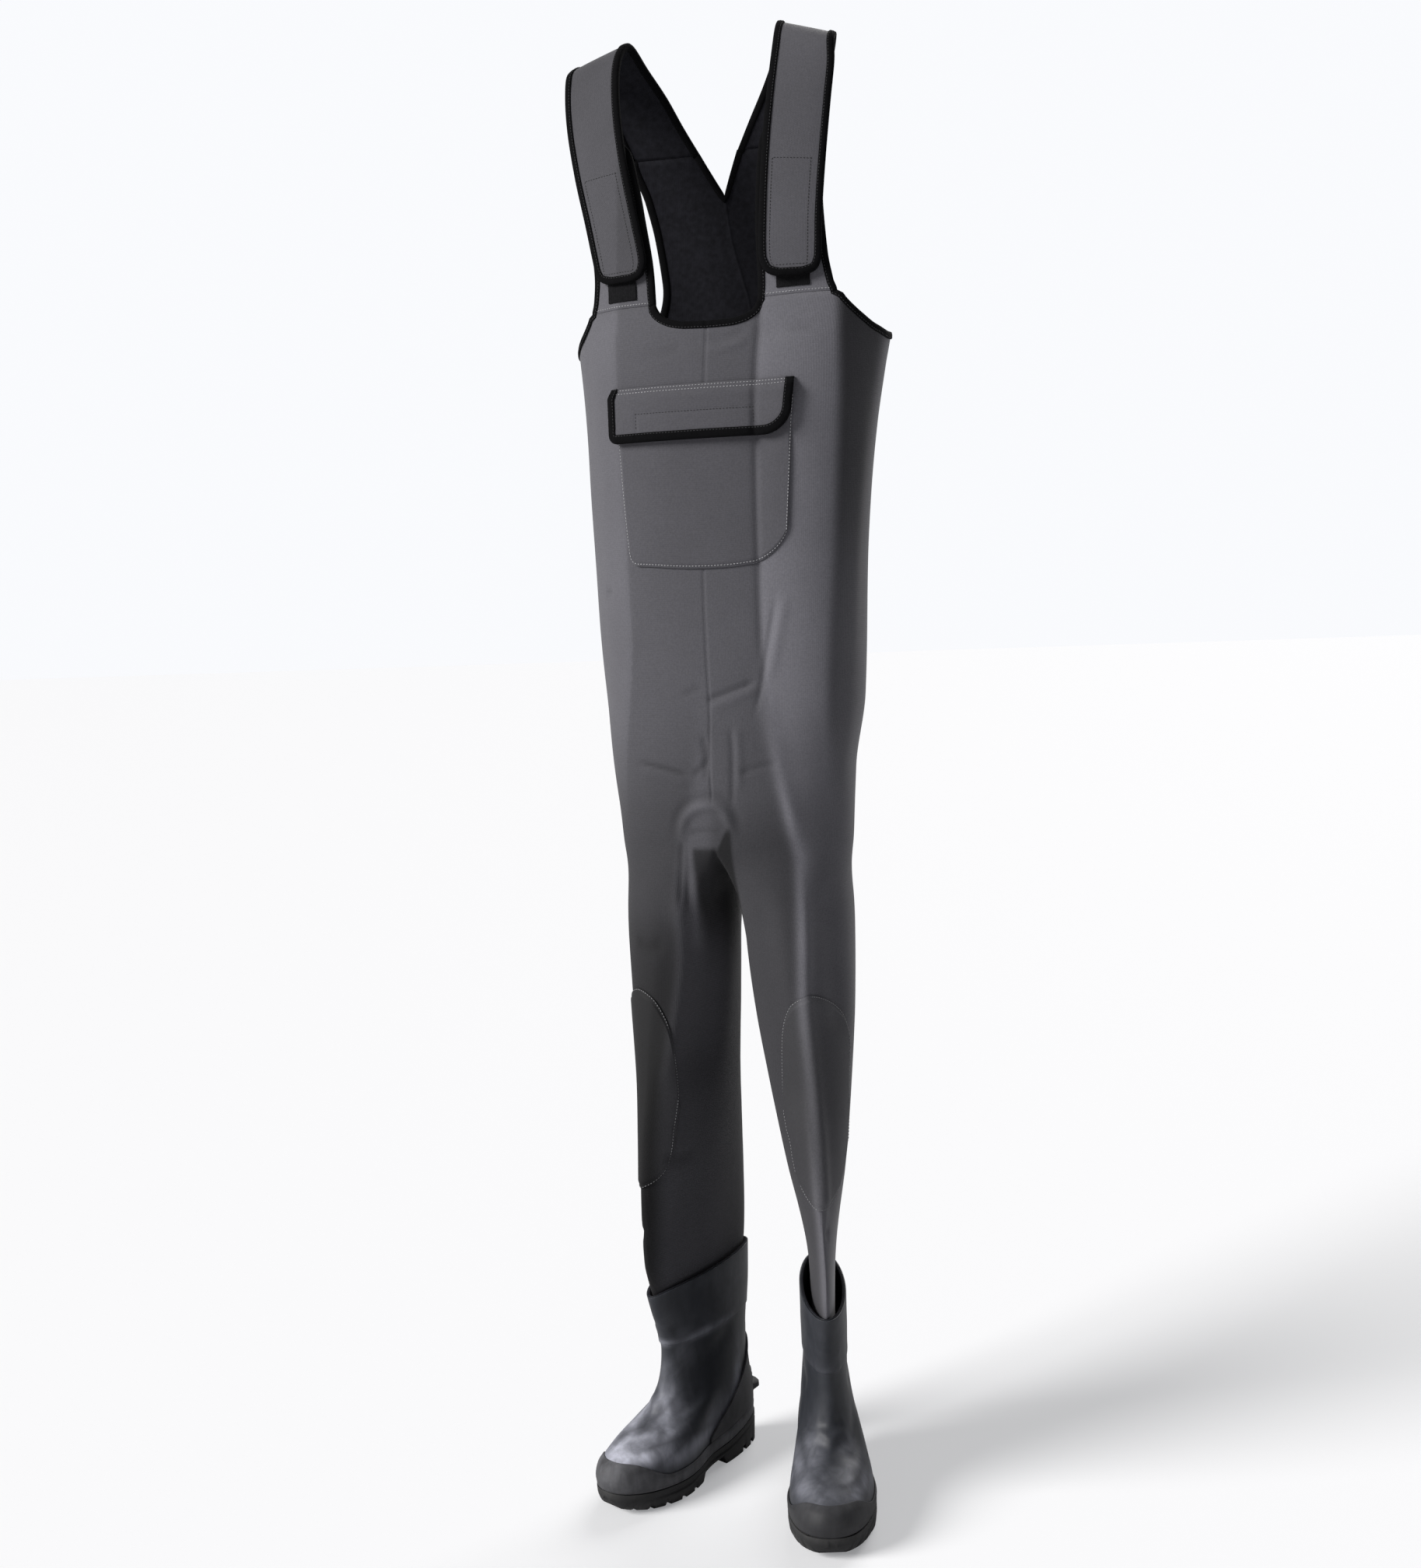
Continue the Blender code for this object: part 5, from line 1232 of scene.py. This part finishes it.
# boots
bootRings = tableOf(
    "ring frontY frontZ backY backZ halfFront halfBack blunt sag",
    (0, 0.2430, 0.0270, 0.0040, 0.0360, 0.0474, 0.0335, 0.84, 0.0110),
    (1, 0.2455, 0.0390, 0.0025, 0.0500, 0.0482, 0.0345, 0.84, 0.0110),
    (2, 0.2400, 0.0510, 0.0025, 0.0620, 0.0466, 0.0345, 0.85, 0.0100),
    (3, 0.2255, 0.0600, 0.0035, 0.0730, 0.0432, 0.0335, 0.86, 0.0070),
    (4, 0.2050, 0.0670, 0.0055, 0.0850, 0.0393, 0.0325, 0.88, 0.0030),
    (5, 0.1820, 0.0745, 0.0075, 0.0970, 0.0350, 0.0312, 0.90, 0.0000),
    (6, 0.1630, 0.0850, 0.0080, 0.1100, 0.0308, 0.0296, 0.96, 0.0000),
    (7, 0.1475, 0.1040, 0.0070, 0.1280, 0.0272, 0.0276, 1.00, 0.0000),
    (8, 0.1400, 0.1320, 0.0050, 0.1480, 0.0250, 0.0255, 1.00, 0.0000),
    (9, 0.1405, 0.1640, 0.0015, 0.1750, 0.0240, 0.0242, 1.00, 0.0000),
    (10, 0.1495, 0.1950, -0.0015, 0.2070, 0.0236, 0.0236, 1.00, 0.0000),
    (11, 0.1570, 0.2230, -0.0035, 0.2400, 0.0236, 0.0236, 1.00, 0.0000),
)
bootShape = {
    "wall": 0.0026, "columns": 132, "ringSteps": 9, "topRing": 11, "edge": 0.0006,
    "foreFrom": (0.15, 0.72), "waist": 0.007, "waistAt": 0.42, "waistSpread": 0.13,
    "toeBend": 0.007, "bendFrom": (0.45, 1.0), "dipDegrees": 34.0, "dipRing": 9.0,
}
bootDegrees = np.arange(bootShape["columns"])[None] * 360.0 / bootShape["columns"]
bootTrim = {
    "gap": 0.0003, "edge": 0.0006,
    "randThick": 0.0022, "randLowRing": 0.05, "randToeRing": 2.5, "randSideRing": 1.06, "randRows": 22,
    "randToe": (0.72, 0.98), "randEdge": 0.0007, "lipDepth": 0.0011, "lipFrom": 0.72, "bead": 0.0005,
    "beadAt": 0.10, "beadWidth": 0.05, "randDust": 0.10, "capDust": 0.55,
    "counterThick": 0.0018, "counterTop": 7.0, "counterSide": 1.5, "counterFront": 0.57, "counterAbove": 0.08,
    "counterDegrees": (98.5, 261.5), "counterColumns": 84, "counterRows": 66, "counterDust": 0.20,
    "border": 0.0006, "borderWidth": 0.03, "borderDust": 0.45, "borderFade": 0.05,
    "spurSteps": (0.115, 0.205), "spurHalf": 20.0, "spurReach": 0.0085,
    "ribSteps": (0.34, 0.42, 0.50), "ribHeight": 0.0011, "ribWidth": 0.022, "ribDegrees": (30.0, 16.0),
    "bandRings": (8.75, 10.97), "bandRows": 24, "bandThick": 0.0017, "bandThin": 0.0009, "bandGap": 0.0002,
    "bandDust": 0.02,
}
sole = {
    "margin": 0.0028, "gap": 0.0003, "lugDepth": 0.006, "foreDepth": 0.003, "lugWall": 0.0008,
    "lugGroove": 0.007, "heelLugs": ((0.006, 0.018), (0.025, 0.037), (0.044, 0.078)),
    "foreLugs": ((0.126, 0.141), (0.148, 0.163), (0.170, 0.185), (0.192, 0.205), (0.212, 0.223),
                 (0.229, 0.237)),
    "archFront": 0.120, "archHeight": 0.010, "archWall": 0.004, "archFall": 0.002,
    "springStart": 0.195, "springRise": 0.010, "tuck": 0.0012, "footRows": (0.45, 0.8, 1.0),
    "toeTuck": 0.0085, "toeFrom": 0.165, "toeTo": 0.232, "edge": 0.0006, "edgeDegrees": 40,
    "noseReach": 0.0140, "noseLift": 0.0110, "heelReach": 0.0046, "heelLift": 0.0040, "finest": 0.0022,
    "ends": (0.002, 0.03, 0.10, 0.22, 0.40, 0.66, 1.0),   # close stations where toe and heel turn round
    "sideSteps": ((0.0, 0.0), (0.0, 0.0050), (-0.0014, 0.0062), (-0.0014, 0.0080), (0.0, 0.0092)),
    "dust": (0.35, 0.4, 300.0),   # middle, swing and how often up the side
    "insole": 0.0035, "insoleColumns": 66, "insoleRows": 9, "insoleRing": 0.3, "insoleGap": 0.0009,
}


def bootPoint(boot, degrees, ring):
    degrees, ring = np.broadcast_arrays(np.asarray(degrees, float), np.asarray(ring, float))
    row = {name: along(bootRings, name, ring, True) for name in bootRings}
    angle = np.radians(degrees)
    ahead = (1 + np.cos(angle)) / 2
    half = mix(row["halfBack"], row["halfFront"], smoothStep(*bootShape["foreFrom"], ahead))
    aside = signedPower(np.sin(angle), row["blunt"]) * half
    foot = (row["halfFront"] - row["halfBack"]) / (bootRings["halfFront"][0] - bootRings["halfBack"][0])
    foot = np.maximum(foot, 0.0)
    narrow = np.exp(-((ahead - bootShape["waistAt"]) / bootShape["waistSpread"]) ** 2)
    waist = 1 - bootShape["waist"] * foot * narrow / half
    aside = np.where(aside * boot["side"] < 0, aside * waist, aside)
    aside = aside - boot["side"] * bootShape["toeBend"] * foot * smoothStep(*bootShape["bendFrom"], ahead)
    heel, across, forward = bootAxes(boot)
    reach = mix(row["backY"], row["frontY"], ahead)
    point = heel + across * aside[..., None] + forward * reach[..., None]
    wrapped = (degrees + 180.0) % 360.0 - 180.0
    notch = boot["dip"] * np.exp(-(wrapped / bootShape["dipDegrees"]) ** 2)
    notch = notch * smoothStep(bootShape["dipRing"], bootShape["topRing"], ring)
    point[..., 2] = mix(row["backZ"], row["frontZ"], ahead) - row["sag"] * 4 * ahead * (1 - ahead) - notch
    return point


def bootNormal(boot, degrees, ring, turn=2.0, step=0.05):
    around = bootPoint(boot, degrees + turn, ring) - bootPoint(boot, degrees - turn, ring)
    above, below = np.minimum(ring + step, bootShape["topRing"]), np.maximum(ring - step, 0.0)
    return unit(np.cross(around, bootPoint(boot, degrees, above) - bootPoint(boot, degrees, below)))


# boot creases: angle from the toe and ring number of each end, depth and width
bootCreases = (
    (((-34, 6.1), (0, 5.9), (34, 6.1)), -0.0022, 0.0070),
    (((-30, 6.9), (0, 6.8), (30, 6.9)), -0.0018, 0.0070),
    (((-40, 5.3), (0, 5.1), (40, 5.3)), -0.0012, 0.0080),
    (((-36, 6.5), (0, 6.35), (36, 6.5)), 0.0014, 0.0070),
    (((30, 4.4), (52, 5.2), (80, 6.6)), -0.0018, 0.0090),
    (((-30, 4.4), (-52, 5.2), (-80, 6.6)), -0.0018, 0.0090),
    (((60, 7.6), (86, 8.0), (110, 8.5)), -0.0015, 0.0100),
    (((-60, 7.6), (-86, 8.0), (-110, 8.5)), -0.0015, 0.0100),
    (((150, 8.3), (180, 8.1), (210, 8.3)), -0.0016, 0.0080),
    (((-46, 3.4), (-20, 3.75), (0, 3.85), (20, 3.75), (46, 3.4)), 0.0007, 0.0050),
    (((-14, 9.6), (-26, 8.6)), 0.0012, 0.0070),
    (((16, 9.6), (28, 8.6)), 0.0012, 0.0070),
)
# where the rubber has bloomed: angle, ring, spread in degrees and rings, strength
bloomSpots = (
    (4, 3.0, 40, 1.1, 1.0), (34, 2.8, 24, 0.8, 1.1), (16, 4.0, 36, 0.8, 0.95), (-40, 3.4, 34, 1.3, 0.70),
    (30, 5.0, 24, 1.4, 0.50), (-30, 5.0, 24, 1.4, 0.66), (8, 6.7, 26, 1.2, 0.46), (74, 2.2, 26, 0.7, 0.50),
    (-74, 2.6, 30, 1.0, 0.38), (102, 3.4, 18, 1.4, 0.20), (-105, 2.4, 30, 1.0, 0.20),
    (40, 8.4, 16, 0.8, 0.14), (-70, 8.8, 36, 0.16, 0.34), (70, 8.8, 36, 0.16, 0.34), (0, 8.8, 40, 0.14, 0.34),
    (122, 5.0, 7, 2.2, 0.34), (-122, 5.0, 7, 2.2, 0.34), (180, 10.4, 70, 0.5, 0.10),
)
bareSpots = {"right": (76, 4.6, 13, 1.1, 0.60), "left": (4, 4.1, 23, 2.0, 0.80)}   # rubbed dark again
bloomRange = {"shaftRings": (4.5, 7.0), "least": 0.022, "most": 1.25}


def spotAt(spot, wrapped, ring):
    angle, level, wide, tall, strength = spot
    aside = (wrapped - angle + 180.0) % 360.0 - 180.0
    return strength * np.exp(-(aside / wide) ** 2 - ((ring - level) / tall) ** 2)


def bloomAt(boot, degrees, ring):
    wrapped = (degrees + 180.0) % 360.0 - 180.0
    total = np.zeros(np.broadcast(wrapped, ring).shape)
    for spot in bloomSpots:
        share = mix(boot["bloom"], boot["shaft"], smoothStep(*bloomRange["shaftRings"], spot[1]))
        total = np.maximum(total, share * spotAt(spot, wrapped, ring))
    total *= 1 - spotAt(bareSpots["left" if boot["side"] > 0 else "right"], wrapped, ring)
    return np.clip(total + bloomRange["least"], 0.0, bloomRange["most"])


def bootSkin(boot, degrees, ring, out, lines):
    flat = bootPoint(boot, degrees, ring)
    move = creaseMove(flat.reshape(-1, 3), lines).reshape(ring.shape)
    return flat + bootNormal(boot, degrees, ring) * (move + out)[..., None]


def randTop(degrees):
    ahead = (1 + np.cos(np.radians(degrees))) / 2
    return mix(bootTrim["randSideRing"], bootTrim["randToeRing"], smoothStep(*bootTrim["randToe"], ahead))


def counterTop(degrees):
    behind = (1 - np.cos(np.radians(degrees))) / 2
    rise = np.clip((behind - bootTrim["counterFront"]) / (1 - bootTrim["counterFront"]), 0.0, 1.0)
    return mix(bootTrim["counterSide"], bootTrim["counterTop"], rise)


def makeUpper(side, boot, lines):
    ring = np.linspace(0, bootShape["topRing"], bootShape["topRing"] * bootShape["ringSteps"] + 1)[:, None]
    degrees, ring = np.broadcast_arrays(bootDegrees, ring)
    outer = bootSkin(boot, degrees, ring, 0.0 * ring, lines)
    inner = bootSkin(boot, degrees, ring, -bootShape["wall"] + 0.0 * ring, lines)
    inner[0, :, 2], inner[-1, :, 2] = outer[0, :, 2], outer[-1, :, 2]
    piece = addWall("boot_rubber_" + side, outer, inner, [rubber, lining], True, None,
                    {"bloom": bloomAt(boot, degrees, ring)}, True)
    settle(roundEdges(piece, bootShape["edge"]), "rubber", "boot_upper_" + side)


def overlay(part, side, degrees, ring, thick, lines, dust, finish=matteRubber, slot="matte_rubber",
            gap=bootTrim["gap"], edge=bootTrim["edge"]):   # a moulded layer over the boot's wall
    boot = boots[side]
    degrees, ring, thick = np.broadcast_arrays(degrees, ring, thick)
    outer = bootSkin(boot, degrees, ring, gap + thick, lines)
    inner = bootSkin(boot, degrees, ring, gap + 0.0 * thick, lines)
    bloom = dust + (1 - dust) * bloomAt(boot, degrees, ring)
    closed = ring.shape[1] == bootShape["columns"]
    piece = addWall(part + "_rubber_" + side, outer, inner, [finish], closed, None, {"bloom": bloom})
    settle(roundEdges(piece, edge, 3), slot, part + "_" + side)


def makeRand(side, boot, lines):
    rise = np.linspace(0, 1, bootTrim["randRows"])[:, None]
    ring = mix(bootTrim["randLowRing"], randTop(bootDegrees), rise)
    lip = -bootTrim["lipDepth"] * smoothStep(bootTrim["lipFrom"], 1.0, rise)
    lip = lip + bootTrim["bead"] * np.exp(-((rise - bootTrim["beadAt"]) / bootTrim["beadWidth"]) ** 2)
    overlay("toe_rand", side, bootDegrees, ring, bootTrim["randThick"] + lip, lines,
            bootTrim["randDust"] + bootTrim["capDust"] * boot["cap"], edge=bootTrim["randEdge"])


def makeCounter(side, lines):
    degrees = np.linspace(*bootTrim["counterDegrees"], bootTrim["counterColumns"])[None]
    step = np.linspace(0, 1, bootTrim["counterRows"])[:, None]
    ring = mix(bootTrim["randSideRing"] + bootTrim["counterAbove"], counterTop(degrees), step)
    aside = np.abs(degrees - 180.0)
    first, last = bootTrim["spurSteps"]
    shelf = smoothStep(first - 0.02, first + 0.005, step) * smoothStep(last + 0.02, last - 0.005, step)
    shelf = shelf * smoothStep(bootTrim["spurHalf"], bootTrim["spurHalf"] * 0.55, aside)
    bars = sum(np.exp(-((step - at) / bootTrim["ribWidth"]) ** 2) for at in bootTrim["ribSteps"])
    bars = bootTrim["ribHeight"] * bars * smoothStep(*bootTrim["ribDegrees"], aside)
    border = bootTrim["border"] * np.exp(-((1 - step) / bootTrim["borderWidth"]) ** 2)
    thick = bootTrim["counterThick"] + bootTrim["spurReach"] * shelf + bars + border
    pale = np.exp(-((1 - step) / bootTrim["borderFade"]) ** 2)   # its border has rubbed pale
    overlay("heel_counter", side, degrees, ring, thick, lines,
            bootTrim["counterDust"] + bootTrim["borderDust"] * pale)


def makeBand(side, lines):
    ring = np.linspace(*bootTrim["bandRings"], bootTrim["bandRows"])[:, None]
    rise = np.linspace(0, 1, bootTrim["bandRows"])[:, None]
    thick = mix(bootTrim["bandThin"], bootTrim["bandThick"], smoothStep(0.0, 0.5, rise))
    overlay("cuff_band", side, bootDegrees, ring, thick, lines, bootTrim["bandDust"], rubber, "rubber",
            bootTrim["bandGap"])


def featherEdge(boot, y, hand, margin):
    start, end = bootRings["backY"][0], bootRings["frontY"][0]
    stretch = (y - start + margin) / (end - start + 2 * margin)
    degrees = hand * np.degrees(np.arccos(np.clip(2 * stretch - 1, -1.0, 1.0)))
    place = bootPoint(boot, degrees, 0.0)
    heel, across, forward = bootAxes(boot)
    aside = (place - heel) @ across
    middle = -boot["side"] * bootShape["toeBend"] * smoothStep(*bootShape["bendFrom"], stretch)
    aside = aside + np.where(aside - middle < 0, -margin, margin)
    edge = heel + across * aside[:, None] + forward * y[:, None]
    edge[:, 2] = place[:, 2]
    return edge


def soleBottom(y):
    spring = max(y - sole["springStart"], 0.0) / (bootRings["frontY"][0] - sole["springStart"])
    return sole["springRise"] * spring * spring


def soleStations():
    start = bootRings["backY"][0] - sole["margin"]
    end = bootRings["frontY"][0] + sole["margin"]
    wall, depth, groove = sole["lugWall"], sole["lugDepth"], sole["lugGroove"]
    shallow = sole["foreDepth"]
    ends = sole["ends"]
    curl = [1 - math.sqrt(1 - (1 - e) ** 2) for e in ends]
    rows = [(start + e * sole["heelReach"], sole["heelLift"] * c) for e, c in zip(ends, curl)]
    for low, high in sole["heelLugs"]:
        rows += [(low, 0.0), (high, 0.0), (high + wall, depth), (high + groove - wall, depth)]
    rows = rows[:-2]
    rows += [(sole["heelLugs"][-1][1] + sole["archWall"], sole["archHeight"]),
             (sole["archFront"], sole["archHeight"] - sole["archFall"])]
    for low, high in sole["foreLugs"]:
        after = high + groove
        rows += [(low, soleBottom(low)), (high, soleBottom(high)), (high + wall, soleBottom(high) + shallow),
                 (after - wall, soleBottom(after) + shallow)]
    rows = rows[:-2]
    for e, c in list(zip(ends, curl))[::-1]:
        y = end - e * sole["noseReach"]
        rows.append((y, soleBottom(y) + sole["noseLift"] * c))
    fine = []
    for (y0, b0), (y1, b1) in zip(rows[:-1], rows[1:]):
        parts = max(1, int((y1 - y0) / sole["finest"]))
        fine += [(mix(y0, y1, i / parts), mix(b0, b1, i / parts)) for i in range(parts)]
    return np.array(fine + [rows[-1]])


def makeSole(side, boot):
    stations = soleStations()
    y, bottom = stations.T
    ring = []
    for hand in (-1, 1):
        edge = featherEdge(boot, y, hand, sole["margin"])
        aside = bootAxes(boot)[1] * hand
        toe = smoothStep(sole["toeFrom"], sole["toeTo"], y)[:, None]
        reach = np.abs((edge - edge[-1]) @ bootAxes(boot)[1])
        column = []
        for inset, down in sole["sideSteps"]:
            column.append(edge + aside * inset * (1 - toe) - np.array((0, 0, sole["gap"] + down)))
        last = column[-1][:, 2]
        for share in sole["footRows"]:
            foot = edge - aside * sole["tuck"] * share
            foot[:, 2] = mix(last, bottom, share)
            column.append(foot)
        for line in column:   # the toe end rolls under
            deep = np.clip((edge[:, 2] - line[:, 2]) / (edge[:, 2] - bottom), 0.0, 1.0)
            roll = np.minimum(sole["toeTuck"] * (1 - np.sqrt(1 - deep ** 2)), 0.6 * reach)
            line -= aside * toe * roll[:, None]
        ring += column if hand < 0 else column[::-1]
    ring = np.stack(ring, 1)
    count, size = ring.shape[:2]
    index = np.arange(count * size).reshape(count, size)
    faces = quadsOf(index, True)[:, ::-1].tolist()
    faces += [index[0].tolist(), index[-1][::-1].tolist()]
    middle, swing, often = sole["dust"]
    dust = np.clip(middle + swing * np.sin(ring[..., 2].ravel() * often), 0.1, 0.9)
    piece = addMesh("outsole_rubber_" + side, ring.reshape(-1, 3), faces, [soleRubber], None, {"bloom": dust})
    settle(roundEdges(piece, sole["edge"], 2, sole["edgeDegrees"]), "sole", "outsole_" + side)


def makeInsole(side, boot):
    degrees = np.arange(sole["insoleColumns"]) * 360.0 / sole["insoleColumns"]
    ring = np.full(len(degrees), sole["insoleRing"])
    rim = bootPoint(boot, degrees, ring)
    rim = rim - bootNormal(boot, degrees, ring) * (bootShape["wall"] + sole["insoleGap"])
    low = bootPoint(boot, degrees, 0.0)[:, 2] + sole["gap"]
    middle = rim.mean(0)
    layers = []
    for lift in (sole["insole"], 0.0):
        rings = []
        for share in np.linspace(1.0, 0.02, sole["insoleRows"]):
            spot = mix(middle, rim, share)
            spot[:, 2] = low + lift
            rings.append(spot)
        layers.append(np.array(rings))
    settle(addWall("insole_felt_" + side, *layers, [lining], True), "lining", "insole_" + side)


for side, boot in boots.items():
    lines = []
    for marks, depth, width in bootCreases:
        angle, level = np.array(marks, float).T
        lines.append((refine(bootPoint(boot, angle, level), 6, 0), depth, width))
    makeUpper(side, boot, lines)
    makeRand(side, boot, lines)
    makeCounter(side, lines)
    makeBand(side, lines)
    makeSole(side, boot)
    makeInsole(side, boot)
print("boots made")

# stitches: one tree sews a thread along every gathered line
stitch = {"Pitch": 0.0034, "Length": 0.0025, "Width": 0.0009, "Height": 0.0007}


def stitchTree():
    tree = bpy.data.node_groups.new("threadStitches", "GeometryNodeTree")
    tree.interface.new_socket("Geometry", in_out="INPUT", socket_type="NodeSocketGeometry")
    for name, value in stitch.items():
        tree.interface.new_socket(name, in_out="INPUT", socket_type="NodeSocketFloat").default_value = value
    tree.interface.new_socket("Thread", in_out="INPUT", socket_type="NodeSocketMaterial")
    tree.interface.new_socket("Geometry", in_out="OUTPUT", socket_type="NodeSocketGeometry")
    given = tree.nodes.new("NodeGroupInput").outputs
    curve = addNode(tree, "GeometryNodeMeshToCurve", {0: given["Geometry"]})
    spaced = addNode(tree, "GeometryNodeResampleCurve", {"Curve": curve.outputs[0], "Length": given["Pitch"]},
                     mode="LENGTH")
    tangent = addNode(tree, "GeometryNodeInputTangent")
    facing = addNode(tree, "GeometryNodeInputNamedAttribute", {"Name": "facing"}, data_type="FLOAT_VECTOR")
    turned = addNode(tree, "FunctionNodeAlignRotationToVector", {"Vector": tangent.outputs[0]}, axis="X")
    upright = addNode(tree, "FunctionNodeAlignRotationToVector",
                      {"Rotation": turned.outputs[0], "Vector": facing.outputs[0]}, axis="Z", pivot_axis="X")
    bead = addNode(tree, "GeometryNodeMeshUVSphere", {"Segments": 6, "Rings": 4, "Radius": 0.5})
    size = addNode(tree, "ShaderNodeCombineXYZ", {0: given["Length"], 1: given["Width"], 2: given["Height"]})
    thread = addNode(tree, "GeometryNodeTransform", {"Geometry": bead.outputs[0], "Scale": size.outputs[0]})
    spots = {"Points": spaced.outputs[0], "Instance": thread.outputs[0], "Rotation": upright.outputs[0]}
    sewn = addNode(tree, "GeometryNodeInstanceOnPoints", spots)
    real = addNode(tree, "GeometryNodeRealizeInstances", {0: sewn.outputs[0]})
    done = addNode(tree, "GeometryNodeSetMaterial",
                   {"Geometry": real.outputs[0], "Material": given["Thread"]})
    out = tree.nodes.new("NodeGroupOutput")
    tree.links.new(done.outputs[0], out.inputs[0])
    return tree


def sewLines(name, lines, tree, thread):
    points, edges, facing = [], [], []
    for path, normals in lines:
        start = len(points)
        points += path.tolist()
        facing += normals.tolist()
        edges += [(start + i, start + i + 1) for i in range(len(path) - 1)]
    mesh = bpy.data.meshes.new(name)
    mesh.from_pydata((np.array(points) + bodyPlace).tolist(), edges, [])
    mark = mesh.attributes.new("facing", "FLOAT_VECTOR", "POINT")
    mark.data.foreach_set("vector", np.array(facing, np.float32).ravel())
    piece = bpy.data.objects.new(name, mesh)
    bpy.context.scene.collection.objects.link(piece)
    sewing = piece.modifiers.new("sewing", "NODES")
    sewing.node_group = tree
    for item in tree.interface.items_tree:
        if item.in_out == "INPUT" and item.name in stitch:
            sewing[item.identifier] = stitch[item.name]
        if item.in_out == "INPUT" and item.name == "Thread":
            sewing[item.identifier] = thread
    bpy.context.view_layer.update()
    applyModifiers(piece)
    piece.data.shade_smooth()
    print(name, len(piece.data.polygons), "faces")
    return settle(piece, "binding")


sewTree = stitchTree()
sewLines("grey_stitches", stitchLines["greyThread"], sewTree, greyThread)
sewLines("dull_stitches", stitchLines["dullThread"], sewTree, dullThread)
sewLines("black_stitches", stitchLines["blackThread"], sewTree, blackThread)

# floor, light and camera
studio = {
    "floorSize": 60.0, "floorColour": (0.70, 0.705, 0.72), "floorGlow": 0.27,
    "skyColour": (0.965, 0.975, 1.0), "skySeen": 0.985, "skyLight": 0.12, "lampColour": (1.0, 0.985, 0.965),
    "keyPower": 3.7, "keyFrom": (-50.0, 30.0), "keySpread": 28.0,       # azimuth and height in degrees
    "backPower": 1.5, "backFrom": (172.0, 36.0), "backSpread": 40.0,
}
view = {"azimuth": 18.0, "distance": 2.0, "eyeZ": 0.984, "pitch": 5.7, "yaw": 0.92, "roll": -2.4,
        "focal": 2312.0, "imageHeight": 2016.0, "sensor": 36.0}


def addSun(name, power, aim, softness):
    lamp = bpy.data.lights.new(name, "SUN")
    lamp.energy = power
    lamp.angle = math.radians(softness)
    lamp.color = studio["lampColour"]
    made = bpy.data.objects.new(name, lamp)
    bpy.context.scene.collection.objects.link(made)
    made.rotation_euler = (math.radians(90.0 - aim[1]), 0.0, math.radians(aim[0]))


def makeStudio():
    half = studio["floorSize"] / 2
    mesh = bpy.data.meshes.new("studio_floor")
    corners = [(-half, -half, 0), (half, -half, 0), (half, half, 0), (-half, half, 0)]
    mesh.from_pydata(corners, [], [(0, 1, 2, 3)])
    made, tree, shader = newFinish("floorPaint")
    shader.inputs["Base Color"].default_value = studio["floorColour"] + (1.0,)
    shader.inputs["Roughness"].default_value = 0.9
    shader.inputs["Emission Color"].default_value = studio["skyColour"] + (1.0,)
    seen = addNode(tree, "ShaderNodeLightPath").outputs["Is Camera Ray"]
    tree.links.new(times(tree, seen, studio["floorGlow"]), shader.inputs["Emission Strength"])
    mesh.materials.append(made)
    floor = bpy.data.objects.new("studio_floor", mesh)
    bpy.context.scene.collection.objects.link(floor)
    world = bpy.data.worlds.new("studio")
    world.use_nodes = True
    tree = world.node_tree
    sky = tree.nodes["Background"]
    sky.inputs["Color"].default_value = studio["skyColour"] + (1.0,)
    seen = addNode(tree, "ShaderNodeLightPath").outputs["Is Camera Ray"]
    strength = spread(tree, seen, 0.0, 1.0, studio["skyLight"], studio["skySeen"])
    tree.links.new(strength, sky.inputs["Strength"])
    bpy.context.scene.world = world
    addSun("key", studio["keyPower"], studio["keyFrom"], studio["keySpread"])
    addSun("back", studio["backPower"], studio["backFrom"], studio["backSpread"])
    bpy.context.scene.view_settings.view_transform = "Standard"


def makeCamera():
    lens = bpy.data.cameras.new("camera")
    lens.sensor_width = view["sensor"]
    lens.lens = view["focal"] / view["imageHeight"] * view["sensor"]
    lens.clip_start, lens.clip_end = 0.05, 100.0
    camera = bpy.data.objects.new("camera", lens)
    bpy.context.scene.collection.objects.link(camera)
    azimuth, pitch, roll = (math.radians(view[k]) for k in ("azimuth", "pitch", "roll"))
    facing = azimuth + math.radians(view["yaw"])
    level = math.cos(pitch)
    ahead = np.array((-math.sin(facing) * level, math.cos(facing) * level, -math.sin(pitch)))
    right = np.array((math.cos(facing), math.sin(facing), 0.0))
    up = np.cross(right, ahead)
    tiltedRight = math.cos(roll) * right + math.sin(roll) * up
    tiltedUp = -math.sin(roll) * right + math.cos(roll) * up
    place = bodyPlace + np.array((math.sin(azimuth), -math.cos(azimuth), 0.0)) * view["distance"]
    place[2] = view["eyeZ"]
    matrix = np.eye(4)
    matrix[:3, 0], matrix[:3, 1], matrix[:3, 2], matrix[:3, 3] = tiltedRight, tiltedUp, -ahead, place
    camera.matrix_world = Matrix(matrix.tolist())
    bpy.context.scene.camera = camera


makeStudio()
makeCamera()
print("studio made")
